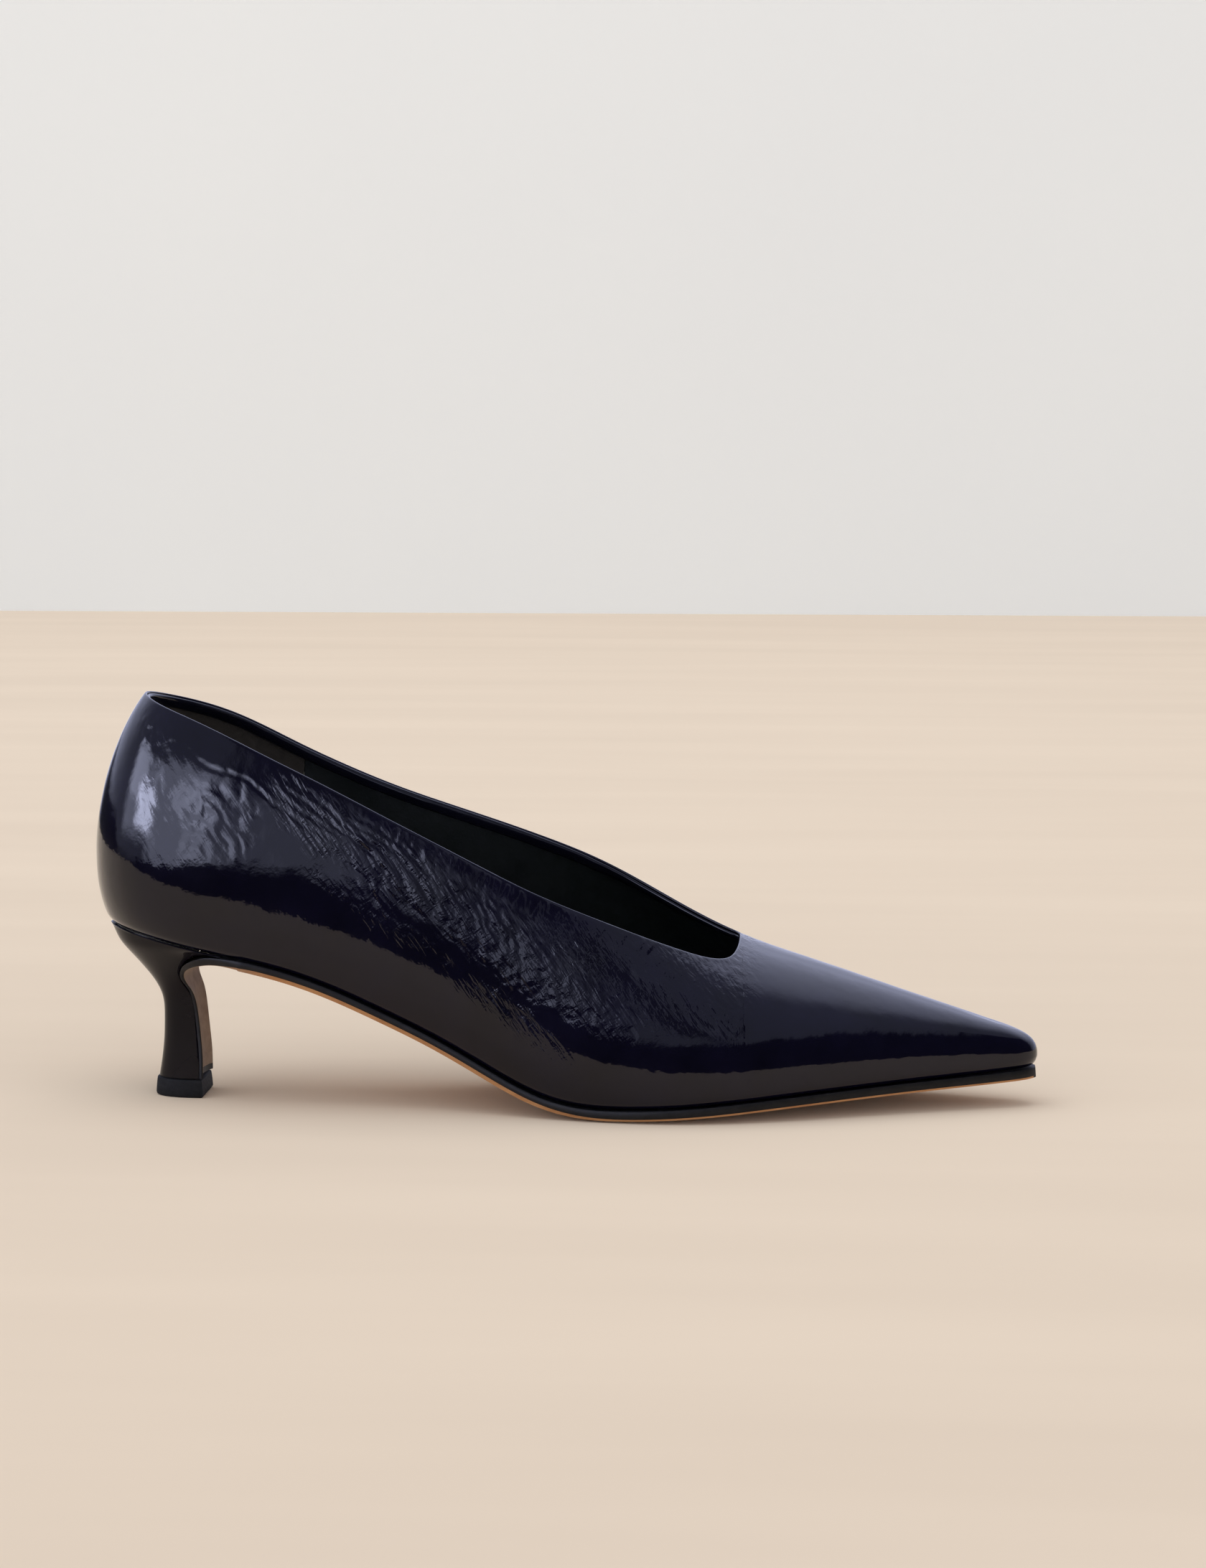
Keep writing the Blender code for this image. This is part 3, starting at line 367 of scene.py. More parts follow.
def section_rise(u):
    """Straight distance from a section's widest line to the ridge."""
    return np.linalg.norm(skin(u, 4 + 0 * u) - skin(u, 3 + 0 * u), axis=-1)


def topline_v(u, lowered=0.0):
    """Where the topline cuts the sections, or an edge lowered by some mm from it all round."""
    behind = THROAT_X - section_ridge_x(u)
    root = np.sqrt(np.clip(behind + lowered * (1 - smooth(0, 40, behind)), 0, None))
    share = np.where(u < 0, topline_lateral(root), topline_medial(root))
    return 3 + share - lowered / section_rise(u) * smooth(0, 1.5, root)


def v_at_lift(u, lift):
    """How far up the wall the skin stands a given lift above the bottom."""
    low, high = 2 + 0 * u, 3.7 + 0 * u
    for _ in range(30):
        middle = (low + high) / 2
        below = lift_of(skin(u, middle)) < lift
        low, high = np.where(below, middle, low), np.where(below, high, middle)
    return low


def counter_zone(u, v):
    """1 where the heel counter lies, 0 beyond it."""
    round_heel = 1 - smooth(COUNTER_U, COUNTER_U + 14, np.abs(u))
    return round_heel * (1 - smooth(COUNTER_V, COUNTER_V + 0.2, v))


def puff_zone(u):
    """1 where the toe puff lies, 0 behind it."""
    return smooth(-12, 0, np.abs(u) - PUFF_U)


def lining_depth(u, v):
    """How far the lining's outer face lies inside the skin."""
    stiffeners = (COUNTER_T + GAP) * counter_zone(u, v) + (PUFF_T + GAP) * puff_zone(u)
    return UPPER_T + 1.5 * GAP + stiffeners


def offset(u, v, depth):
    """The skin moved some mm into the shoe."""
    return skin(u, v) + inward(u, v) * np.asarray(depth)[..., None]


def plan_outline(points):
    """Half-widths of a plan outline along x, as functions: lateral and medial. points are given for u."""
    u = np.linspace(0, TOE_U, 260)
    sides = []
    for side in (-1, 1):
        place = points(side * u)
        sides.append(lambda x, place=place: np.interp(x, place[:, 0], np.abs(place[:, 1])))
    return sides


def inset_feather(inset):
    """The feather line's plan moved some mm inwards."""

    def points(u):
        nx, ny = outward(u)
        return np.stack([feather_x(u) - nx * inset, feather_y(u) - ny * inset], -1)

    return points


def inside_lining(lift):
    """The plan outline of the room inside the linings at a given lift."""

    def points(u):
        v = v_at_lift(u, lift)
        return offset(u, v, lining_depth(u, v) + LINING_T + 2.6 * GAP)[:, :2]

    return points


def horseshoe(turn, front, back, half):
    """A heel section in plan, from rim to rim round its back: x, y and the share of the way to the back."""
    level = np.abs(np.cos(turn)) ** SQUARENESS
    x = front - (front - back) * level
    y = half * np.sign(turn) * np.abs(np.sin(turn)) ** SQUARENESS
    return x, y, level


def heel_grid(outlines, seat_u, columns, rows):
    """Outer surface of the heel: rows from the top-lift up, columns from the lateral rim to the medial."""
    turn = half_turn(columns)
    front_x, front_z, back_x, back_z, half = outlines.T[:, :, None]
    x, y, level = horseshoe(turn, front_x, back_x, half)
    sections = np.stack([x, y, front_z + (back_z - front_z) * level], -1)
    u = turn / (math.pi / 2) * seat_u
    nx, ny = outward(u)
    seat = bottom(feather_x(u) - GAP * nx, feather_y(u) - GAP * ny, -GAP)
    sections = np.concatenate([sections, seat[None]])
    knots, climb = np.arange(len(sections)), np.linspace(0, len(sections) - 1, rows)
    curves = [cubic(knots, values)(climb) for values in sections.reshape(len(sections), -1).T]
    return np.stack(curves, -1).reshape(rows, columns, 3)


def heel_inside(grid, depth):
    """The heel's surface moved inwards, kept under the seat and over the top-lift."""
    normal = unit(np.cross(np.gradient(grid, axis=0), np.gradient(grid, axis=1)))
    middle = grid.mean(axis=1, keepdims=True)
    normal *= np.sign(((middle - grid) * normal).sum(axis=-1, keepdims=True))
    return keep_in_heel(grid + normal * depth)


def keep_in_heel(points):
    """Points clipped between the top-lift and the seat."""
    seat = bottom(points[..., 0], points[..., 1], -GAP)
    points[..., 2] = np.clip(points[..., 2], TOPLIFT_T + GAP, seat[..., 2])
    return points


# -------------------- creases in the leather
# Long creases across the outer quarter, as x and z along each, and how deep.
CREASES = (
    (0.15, ((3, 103), (9, 97.5), (15, 94.5), (22, 92.5), (29, 87), (36, 82), (43, 78), (53, 73.5))),
    (0.14, ((28, 92), (34, 87), (40, 82.5), (48, 77.5), (55, 71))),
    (0.19, ((32, 90.5), (38, 87), (43, 83.5), (50, 78), (57, 73), (62, 67), (67, 58))),
    (0.17, ((36, 90.5), (42, 87.5), (49, 81), (56, 76.5), (63, 71), (67, 65), (70.5, 57))),
    (0.15, ((45, 85), (51, 81), (59, 76.5), (65, 72), (71, 65), (75, 56))),
    (0.13, ((53, 83), (60, 78.5), (67, 73.5), (73, 67.5), (78, 59))),
    (0.15, ((50, 70.5), (56, 65.5), (60.5, 58))),
    (0.12, ((54, 76), (59.5, 70.5), (64, 62))),
)
# Patches of finer folds: side (-1 outer, 1 inner), middle x and z, reach in x and z, lean of the patch,
# heading of the folds, length, spacing, depth, and how far their gloss is cut as painted shade in the folds.
# Angles are in degrees, nose-down positive.
PATCHES = (
    (-1, 44, 80, 24, 9, 34, 42, 13, 2.1, 0.11, 0),
    (-1, 66, 67, 18, 12, 40, 57, 12, 1.9, 0.20, 0.45),
    (-1, 86, 55, 17, 11, 38, 57, 6, 1.8, 0.20, 1),
    (-1, 101, 43, 14, 10, 45, -48, 4.5, 1.8, 0.19, 1),
    (-1, 116, 33, 20, 8, 30, -15, 3.2, 1.9, 0.15, 1),
    (-1, 117, 48, 23, 8, 15, 40, 5, 1.7, 0.10, 0),
    (-1, 137, 33, 18, 9, 14, -8, 6, 1.7, 0.09, 0),
    (-1, 3, 84, 12, 20, 0, 78, 7, 2.6, 0.11, 0),
    (-1, 17, 81, 13, 13, 30, 45, 7, 2.8, 0.17, 0),
    (-1, -2, 104, 8, 6, 30, 35, 3.5, 1.5, 0.16, 0),
    (-1, 60, 55, 30, 4, 32, 20, 5, 2.2, 0.07, 0),
    (-1, 98, 27, 26, 6, 38, 35, 7, 2.2, 0.10, 0),
    (1, 72, 66, 24, 14, 30, 40, 8, 2.3, 0.14, 0),
    (1, 132, 38, 22, 12, 22, -22, 6, 1.9, 0.12, 0),
    (1, 4, 84, 10, 16, 0, 80, 7, 2.2, 0.09, 0),
    (1, 104, 34, 16, 8, 40, 30, 6, 2.1, 0.09, 0),
)
THROAT_CORNERS = ((-1, 151.0, 47.0), (1, 152.0, 48.0))  # folds fan out from here: side, x and z
SEAM_TOP_X = 97.0  # where the side seam meets the topline on the inner side
SEAM_LEAN = 0.35
PUCKER_WIDTH = 1.25  # the folds that stand under the topline
PUCKER_HEIGHT = 0.24


def noise(points, seed=0):
    """Smooth noise at points (x, y, z in the last axis), one cell a unit, from about -1 to 1."""
    cell = np.floor(points).astype(np.int64)
    local = points - cell
    fade = local**3 * (local * (local * 6 - 15) + 10)
    total = 0
    for corner in np.ndindex(2, 2, 2):
        key = ((cell + corner) * (73856093, 19349663, 83492791)).sum(-1) + seed * 97531
        for _ in range(2):
            key = (key ^ (key >> 15)) * 739982445 & 0xFFFFFFFF
        turn = (key >> 4 & 1023) * (math.tau / 1024)
        up = (key >> 14 & 1023) / 511.5 - 1
        flat = np.sqrt(1 - up**2)
        slope = np.stack([flat * np.cos(turn), flat * np.sin(turn), up], -1)
        weight = np.where(corner, fade, 1 - fade).prod(-1)
        total = total + weight * (slope * (local - corner)).sum(-1)
    return 1.5 * total


def streaks(points, heading, length, spacing, seed):
    """Noise drawn out along a heading in the side view, nose-down in degrees, and slightly wandering."""
    turn = np.radians(heading)
    x, y, z = points[..., 0], points[..., 1], points[..., 2]
    wander = 0.55 * spacing * noise(points / (2.6 * spacing), seed + 50)
    along = x * np.cos(turn) - z * np.sin(turn)
    across = x * np.sin(turn) + z * np.cos(turn) + wander
    return noise(np.stack([along / length, y / length, across / spacing], -1), seed)


def folds(value):
    """Rounded ridges with narrow valleys between them, from noise."""
    return 0.35 - np.clip(1 - np.abs(value) * 1.6, 0, 1) ** 2


def patch(points, side, x, z, reach_x, reach_z, lean):
    """1 in the middle of an oval on one side of the shoe, 0 outside it."""
    turn = math.radians(lean)
    dx, dz = points[..., 0] - x, points[..., 2] - z
    along = (dx * math.cos(turn) - dz * math.sin(turn)) / reach_x
    across = (dx * math.sin(turn) + dz * math.cos(turn)) / reach_z
    ragged = 0.25 * noise(points / 5.0, 7)
    return (1 - smooth(0.55, 1.05, np.hypot(along, across) + ragged)) * (points[..., 1] * side > 0)


def crease(points, depth, places):
    """A long crease on the outer side: a narrow valley with a soft shoulder above, fading at its ends."""
    places = np.array(places, float)
    knots = np.arange(len(places))
    share = np.linspace(0, 1, 90)
    curve = np.stack([cubic(knots, places[:, k])(share * knots[-1]) for k in (0, 1)], -1)
    height = np.zeros(points.shape[:-1])
    low, high = curve.min(axis=0) - 4, curve.max(axis=0) + 4
    flat = points[..., (0, 2)]
    near = ((flat > low) & (flat < high)).all(-1) & (points[..., 1] < 0)
    spot = flat[near]
    gap = spot[:, None] - curve[None]
    distance = np.hypot(gap[..., 0], gap[..., 1])
    nearest = distance.argmin(axis=1)
    rows = np.arange(len(spot))
    above = np.sign(gap[rows, nearest, 1] + 0.4 * gap[rows, nearest, 0])
    away = distance[rows, nearest] * above + 0.5 * noise(points[near] / 2.0, 11)
    fade = np.sin(math.pi * share[nearest]) ** 0.7
    shape = 0.3 * np.exp(-(((away - 1.0) / 0.7) ** 2)) - np.exp(-((away / 0.42) ** 2))
    height[near] = depth * fade * shape
    return height


def throat_fan(points, side, x, z):
    """Short folds that radiate from a corner of the throat."""
    dx, dz = points[..., 0] - x, points[..., 2] - z
    reach = np.hypot(dx, dz)
    turn = np.arctan2(dz, dx)
    place = np.stack([reach / 5.0, points[..., 1] / 9.0, turn * (reach + 9.0) / 1.9], -1)
    place[..., 2] += 0.5 * noise(points / 3.5, 23)
    mask = smooth(1.5, 5, reach) * (1 - smooth(17, 28, reach + 4 * noise(points / 6, 24)))
    mask = mask * (1 - smooth(6, 16, dx)) * smooth(-24, -12, dx) * (points[..., 1] * side > 0)
    return 0.15 * mask * folds(noise(place, 21)), mask


def puckers(points, u, drop):
    """Short puckers under the topline, where the bound edge draws the leather in: where, and how high."""
    x = points[..., 0]
    where = smooth(50, 64, x) * (1 - smooth(148, 158, x))
    ragged = drop + 1.6 * noise(points / 4.0, 72)
    where = where * smooth(0.4, 1.3, drop) * (1 - smooth(3.2, 7.0, ragged)) * np.where(u < 0, 1.0, 0.4)
    place = np.stack([(np.abs(u) + 0.35 * drop) / PUCKER_WIDTH, 0 * u, drop / 9.0], -1)
    return where, PUCKER_HEIGHT * where * noise(place, 71)


def side_seam(u, v, drop):
    """Height of the side seam, which leans back down the inner side: a groove between two raised edges."""
    away = skin(u, v)[..., 0] - (SEAM_TOP_X - SEAM_LEAN * drop)
    away = np.where((u > 0) & (u < THROAT_U), away, 99.0)
    return 0.10 * np.exp(-(((np.abs(away) - 0.8) / 0.45) ** 2)) - 0.28 * np.exp(-((away / 0.32) ** 2))


def crinkled(u, v, drop):
    """The leather's folds over the last: their height, how crinkled the finish is there, and painted shade.
    """
    points = skin(u, v)
    height = 0.050 * noise(points / 9.0, 1) + 0.024 * noise(points / 4.0, 2) + 0.007 * noise(points / 1.6, 3)
    rough, painted_crease_shade = np.zeros(height.shape), np.zeros(height.shape)
    for depth, places in CREASES:
        height += crease(points, depth, places)
    for seed, (*oval, heading, length, spacing, depth, painted_shade_share) in enumerate(PATCHES):
        mask = patch(points, *oval)
        height += depth * mask * folds(streaks(points, heading, length, spacing, 30 + seed))
        worn = mask * min(1, depth / 0.10) * (0.25 + 0.75 * smooth(20, 40, points[..., 0]))
        rough = np.maximum(rough, worn)
        # Painted shade: the patch's last column cuts the gloss of its folds, to darken them.
        painted_crease_shade = np.maximum(painted_crease_shade, mask * painted_shade_share)
    for side, x, z in THROAT_CORNERS:
        fan, mask = throat_fan(points, side, x, z)
        height += fan
        rough = np.maximum(rough, mask)
    along_vamp = smooth(150, 165, points[..., 0]) * smooth(3.2, 3.7, v)
    height += 0.016 * along_vamp * streaks(points, 16, 16.0, 1.1, 60)
    pull, pucker = puckers(points, u, drop)
    height += pucker
    height += side_seam(u, v, drop)
    # Painted shade: the puckers under the topline have their gloss cut, fading out between x 105 and 125.
    painted_crease_shade = np.maximum(painted_crease_shade, pull * (1 - smooth(105, 125, points[..., 0])))
    return height * smooth(0.3, 1.4, drop) * smooth(1.0, 2.0, v), rough, painted_crease_shade


# -------------------- meshes
def placed(name, mesh, material):
    """A new object in the scene, from a mesh and its material."""
    mesh.materials.append(material)
    obj = bpy.data.objects.new(name, mesh)
    bpy.context.scene.collection.objects.link(obj)
    return obj


def give_values(mesh, label, values):
    """A named number for each point of a mesh, for its material to read."""
    attribute = mesh.attributes.new(label, "FLOAT", "POINT")
    attribute.data.foreach_set("value", np.asarray(values, np.float32).reshape(-1))


def add_piece(name, points, faces, finish, values=None, edge_angle=55):
    """A closed piece from points in millimetres, welded where they are doubled. values holds attributes."""
    points = np.asarray(points, float).reshape(-1, 3)
    _, first, index = np.unique(np.round(points, 3), axis=0, return_index=True, return_inverse=True)
    index = index.reshape(-1)
    loops = []
    for face in faces:
        corners = index[np.asarray(face)]
        corners = corners[corners != np.roll(corners, 1)]
        if len(corners) > 2:
            loops.append(corners.tolist())
    mesh = bpy.data.meshes.new(name)
    mesh.from_pydata((points[first] * MM).tolist(), [], loops)
    for label, value in (values or {}).items():
        give_values(mesh, label, np.asarray(value).reshape(-1)[first])
    body = bmesh.new()
    body.from_mesh(mesh)
    loose = [vert for vert in body.verts if not vert.link_faces]
    bmesh.ops.delete(body, geom=loose, context="VERTS")
    bmesh.ops.recalc_face_normals(body, faces=body.faces)
    if body.calc_volume(signed=True) < 0:
        bmesh.ops.reverse_faces(body, faces=body.faces)
    body.to_mesh(mesh)
    body.free()
    mesh.shade_smooth()
    mesh.set_sharp_from_angle(angle=math.radians(edge_angle))
    return placed(name, mesh, finish)


def belongs(piece, slot, *nodes):
    """The piece rides on the shoe and stands for CAD nodes. slot is not used."""
    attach(piece, "root")
    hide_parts(*nodes)
    return piece


def ring_faces(columns, size, lip=(), closed=None):
    """Faces between closed rings of points. Between two closed columns the ring's edges listed in lip are
    left out, because the sheet of the other side joins on there."""
    order = np.arange(size)
    closed = np.zeros(columns, bool) if closed is None else closed
    faces = []
    for i in range(columns - 1):
        keep = order[~np.isin(order, lip)] if closed[i] and closed[i + 1] else order
        here, after = i * size + keep, i * size + (keep + 1) % size
        faces.append(np.stack([here, here + size, after + size, after], -1))
    return np.concatenate(faces)


def strip_caps(columns, size):
    """Faces that shut the first and last ring of a thin sheet, rung by rung like a ladder."""
    rung = np.arange(size // 2 - 1)
    cap = np.stack([rung, rung + 1, size - 2 - rung, size - 1 - rung], -1)
    return np.concatenate([cap, cap + (columns - 1) * size])


def spaced(low, high, step):
    """Even places from low to high, about a step apart."""
    return np.linspace(low, high, max(2, round((high - low) / step) + 1))


def side_columns(step, extra=()):
    """Places along one side from heel to toe, crowded towards the throat's corner and the toe's tip."""
    back = spaced(0, THROAT_U - THROAT_CROWD, step)
    throat = THROAT_U - THROAT_CROWD * np.linspace(1, 0, round(2 * THROAT_CROWD / step)) ** 2
    front = spaced(THROAT_U, TOE_U - TIP_CROWD, step)
    turn = np.linspace(0, math.pi / 2, round(TIP_RUN / step))
    tip = TOE_U - TIP_CROWD + TIP_CROWD * np.sin(turn)
    places = np.unique(np.round(np.concatenate([back, throat, front, tip]), 6))
    if len(extra):
        places = places[(places < extra[0]) | (places > extra[-1])]
        places = np.sort(np.concatenate([places, extra]))
    places[np.abs(places - THROAT_U) < 1e-3] = THROAT_U
    places[-1] = TOE_U
    return places


def topline_frame(u):
    """Round the whole opening, for u from throat to throat: its edge, the ways into the shoe and down."""
    edge, into = skin(u, topline_v(u)), inward(u, topline_v(u))
    loop = edge[:-1]
    along = np.roll(loop, -1, 0) - np.roll(loop, 1, 0)
    along = np.concatenate([along, along[:1]])
    return edge, into, unit(np.cross(along, into))


# -------------------- the soft parts
def add_upper(finish):
    """The lasted upper with its folds, its rolled topline and its lasting margin."""
    seam = spaced(74, 110, 0.42)
    u = np.concatenate([-side_columns(OUTER_STEP)[:0:-1], side_columns(INNER_STEP, seam)])
    top = topline_v(u)
    rows = [np.linspace(0, 1, 4)[:-1], np.linspace(1, 2, 5)[:-1], np.linspace(2, 3, WALL_LOW)[:-1]]
    low = np.repeat(np.concatenate(rows)[None], len(u), 0)
    high = 3 + (top[:, None] - 3) * np.linspace(0, 1, WALL_HIGH)[None]
    v = np.concatenate([low, high], 1)
    places = np.repeat(u[:, None], v.shape[1], 1)
    surface = skin(places, v)
    climb = np.linalg.norm(np.diff(surface, axis=1), axis=-1)
    drop = np.concatenate([np.cumsum(climb[:, ::-1], 1)[:, ::-1], 0 * climb[:, :1]], 1)
    drop = drop + np.clip(section_ridge_x(u) - THROAT_X, 0, None)[:, None]
    height, rough, painted_crease_shade = crinkled(places, v, drop)
    outer = surface - inward(places, v) * height[..., None]

    back = np.concatenate([np.linspace(0, 2, 4)[:-1], np.linspace(2, 3, 3)[:-1]])
    high = 3 + (top[:, None] - 3) * np.linspace(0, 1, 7)[None]
    inner_v = np.concatenate([np.repeat(back[None], len(u), 0), high], 1)
    inner_u = np.repeat(u[:, None], inner_v.shape[1], 1)
    inner = offset(inner_u, inner_v, UPPER_T + 0 * inner_u)[:, ::-1]

    turn = np.linspace(0, math.pi, 8)[1:-1]
    lip = np.repeat(outer[:, -1:], len(turn), 1)
    opening = np.abs(u) <= THROAT_U
    edge, into, down = topline_frame(u[opening])
    across, up = UPPER_T * (1 - np.cos(turn)) / 2, ROLL_HEIGHT * np.sin(turn)
    lip[opening] = edge[:, None] + into[:, None] * across[:, None] - down[:, None] * up[:, None]
    rings = np.concatenate([outer, lip, inner], 1)
    count = outer.shape[1]
    # The second mark is painted shade: it cuts the coat's gloss in the folds.
    marks = {"crinkle": np.zeros(rings.shape[:2]), "painted_crease_shade": np.zeros(rings.shape[:2])}
    marks["crinkle"][:, :count] = rough
    marks["painted_crease_shade"][:, :count] = painted_crease_shade
    shut = np.arange(count - 1, count + len(turn))
    faces = ring_faces(len(u), rings.shape[1], shut, np.abs(u) >= THROAT_U)
    piece = add_piece("patent_upper", rings, faces, finish, marks)
    return belongs(piece, "patent_leather", "upper")


def add_binding(finish):
    """The patent strip turned in under the topline: a hooked section swept round the opening."""
    side = side_columns(0.8)
    side = side[side <= THROAT_U]
    u = np.concatenate([-side[:0:-1], side])
    edge, into, down = topline_frame(u)
    loose = 1 + 0.06 * noise(edge / 6.0, 81)
    section = []
    for depth, drop in BINDING_SECTION:
        reach = depth + BAND_LEAN * max(drop, 0)
        sag = 0.08 * noise(edge / 4.0, 83) * (drop > 1)
        section.append(edge + into * (reach * loose)[:, None] + down * (drop + sag)[:, None])
    rings = np.stack(section, 1)
    faces = ring_faces(len(u), rings.shape[1])
    piece = add_piece("patent_topline_binding", rings, faces, finish)
    return belongs(piece, "binding_patent", "topline_binding")


def lining_rings(u, thickness, swell, grain, seed):
    """A lining from the insole board up to a line below the topline, easing outward at its top edge."""
    throat = u_at(section_ridge_x, THROAT_X + LINING_DROP)
    open_top = np.abs(u) < throat - 1e-6
    low, high = v_at_lift(u, SEAT_LIFT), np.where(open_top, topline_v(u, LINING_DROP), 4.0)
    share = np.linspace(0, 1, LINING_ROWS)[None]
    v = low[:, None] + (high - low)[:, None] * share
    places = np.repeat(u[:, None], LINING_ROWS, 1)
    below = (high[:, None] - v) * section_rise(u)[:, None]
    below = below + np.clip(section_ridge_x(u) - THROAT_X - LINING_DROP, 0, None)[:, None]
    depth = lining_depth(places, v)
    depth = depth - (1 - smooth(0.5, 8.0, below)) * (depth - UPPER_T - 0.2)
    outer = offset(places, v, depth)
    ripple = swell * (noise(outer / grain, seed) + 0.4 * noise(outer * (3 / grain), seed + 1))
    inner = offset(places, v, depth + thickness + ripple * smooth(0, 3, below))
    return np.concatenate([outer, inner[:, ::-1]], 1), ~open_top


def add_linings(leather, suede):
    """The leather lining from suede to suede round the toe, and the suede round the heel."""
    throat = u_at(section_ridge_x, THROAT_X + LINING_DROP)
    side = side_columns(1.3)
    side = side[side > GRIP_U + 0.5]
    side = np.sort(np.append(side, (GRIP_U + 0.12, throat)))
    u = np.concatenate([side, -side[-2::-1]])
    rings, closed = lining_rings(u, LINING_T, 0.10, 9.0, 90)
    size = rings.shape[1]
    faces = ring_faces(len(u), size, np.array([LINING_ROWS - 1]), closed)
    faces = np.concatenate([faces, strip_caps(len(u), size)])
    vamp = add_piece("leather_lining", rings, faces, leather)
    belongs(vamp, "lining_leather", "vamp_lining")

    side = spaced(0, GRIP_U - 0.12, 1.0)
    u = np.concatenate([-side[:0:-1], side])
    rings, _ = lining_rings(u, LINING_T + 0.12, 0.12, 6.0, 95)
    faces = np.concatenate([ring_faces(len(u), size), strip_caps(len(u), size)])
    grip = add_piece("suede_heel_grip", rings, faces, suede)
    belongs(grip, "grip_suede", "heel_grip_lining")


def add_pad(name, low, high, end_x, sink, finish):
    """A padded layer of the insole: rounded at its edges and a little hollow under the foot."""
    points = inside_lining(low)
    u = TOE_U * (1 - np.cos(np.linspace(0, math.pi, 150))) / 2
    lateral, medial = points(-u), points(u)
    u = u[(lateral[:, 0] + medial[:, 0]) / 2 < end_x]
    lateral, medial = lateral[: len(u), None], medial[: len(u), None]
    across = np.sin(half_turn(33))[None, :, None]
    place = (lateral + medial) / 2 + (medial - lateral) / 2 * across
    half = np.abs(medial - lateral)[..., 1] / 2
    inset = np.minimum(half * (1 - np.abs(across[..., 0])), place[..., 0] - place[0, 0, 0])
    inset = np.minimum(inset, end_x - place[..., 0])
    radius = (high - low) / 2
    curl = radius * (1 - np.sqrt(np.clip(1 - np.clip(1 - inset / (1.6 * radius), 0, 1) ** 2, 0, 1)))
    x, y = place[..., 0], place[..., 1]
    hollow = sink * smooth(2, 12, inset) * (0.7 + 0.5 * noise(np.stack([x, y, 0 * x], -1) / 22.0, 41))
    upper = bottom(x, y, high - curl - hollow, crowned=False)
    lower = bottom(x, y, low + curl, crowned=False)
    rings = np.concatenate([upper, lower[:, ::-1]], 1)
    faces = np.concatenate([ring_faces(*rings.shape[:2]), strip_caps(*rings.shape[:2])])
    return add_piece(name, rings, faces, finish)


def add_insole_layers(leather, foam):
    """The foam pad on the insole board, and the leather sock over it."""
    low = INSOLE_HIGH + GAP
    pad = add_pad("foam_pad", low, low + CUSHION_T, 206.0, 0.25, foam)
    belongs(pad, "foam", "sock_foam")
    low += CUSHION_T + GAP
    sock = add_pad("leather_sock", low, low + SOCK_T, 222.0, 0.2, leather)
    belongs(sock, "lining_leather", "sock_lining")


# -------------------- sole and heel
def add_sole(finish):
    """The leather sole with its flap down the heel breast, its edge painted black and bevelled below."""
    knots = np.arange(len(BREAST))
    rows = [cubic(knots, column)(np.linspace(0, knots[-1], 100)) for column in BREAST.T]
    outer_x, outer_z, inner_x, inner_z, wide_lateral, wide_medial, recess = rows
    across = np.sin(half_turn(27))
    dip = recess[:, None] * (1 - across**2)
    y = np.where(across < 0, across * wide_lateral[:, None], across * wide_medial[:, None])
    sag = crown_depth(20.0) * smooth(8, 20, outer_x)[:, None] * (1 - across**2)
    face = np.stack([outer_x[:, None] - dip, y, outer_z[:, None] - sag], -1)
    back = np.stack([inner_x[:, None] - dip, y, inner_z[:, None] - sag], -1)

    lateral, medial = plan_outline(inset_feather(-SOLE_PROUD))
    tip = np.sin(np.linspace(0.08, math.pi / 2, 22))
    along = np.concatenate([spaced(21.0, SOLE_ROUND, 1.1), SOLE_ROUND + (SOLE_TIP - SOLE_ROUND) * tip])
    y = np.where(across < 0, across * lateral(along)[:, None], across * medial(along)[:, None])
    x = np.repeat(along[:, None], len(across), 1)
    back = np.concatenate([back, bottom(x, y, -GAP)])
    face = np.concatenate([face, bottom(x, y, -GAP - SOLE_T)])
    lowest = 0.25 * smooth(0.86, 1.0, np.abs(across))
    face[..., 2] = np.maximum(face[..., 2], lowest)

    # Each edge bulges a little down to the corner where the paint ends, then a bevel slopes in to the face.
    flap = 1 - smooth(12.0, 26.0, back[:, 0, 0])
    edges = []
    for end, side in ((-1, 1), (0, -1)):
        top, low, beside = back[:, end], face[:, end].copy(), face[:, -2 if end else 1]
        way = unit(top - back[:, -3 if end else 2])
        corner = 0.64 + 0.20 * smooth(95, 130, top[:, :1])
        reach = (low - top) * (corner + (0.96 - corner) * flap[:, None])
        edge = [top + reach * share + way * bulge for share, bulge in EDGE_SECTION]
        face[:, end] = low + (beside - low) * (0.35 - 0.25 * flap[:, None])
        edges.append(np.stack(edge[:: 1 if side > 0 else -1], 1))
    rings = np.concatenate([back, edges[0], face[:, ::-1], edges[1]], 1)
    paint = np.zeros(rings.shape[:2])
    count, depth = len(across), len(EDGE_SECTION)
    paint[:, : count + depth - 1] = 1
    paint[:, 2 * count + depth + 1 :] = 1
    paint[-5:] = 1
    faces = list(ring_faces(*rings.shape[:2])) + end_fans(*rings.shape[:2])
    piece = add_piece("leather_sole", rings, faces, finish, {"paint": paint}, edge_angle=40)
    return belongs(piece, "sole_leather", "outsole")


def end_fans(columns, size):
    """One flat face at each end of a row of rings."""
    return [np.arange(size)[::-1], np.arange(size) + (columns - 1) * size]


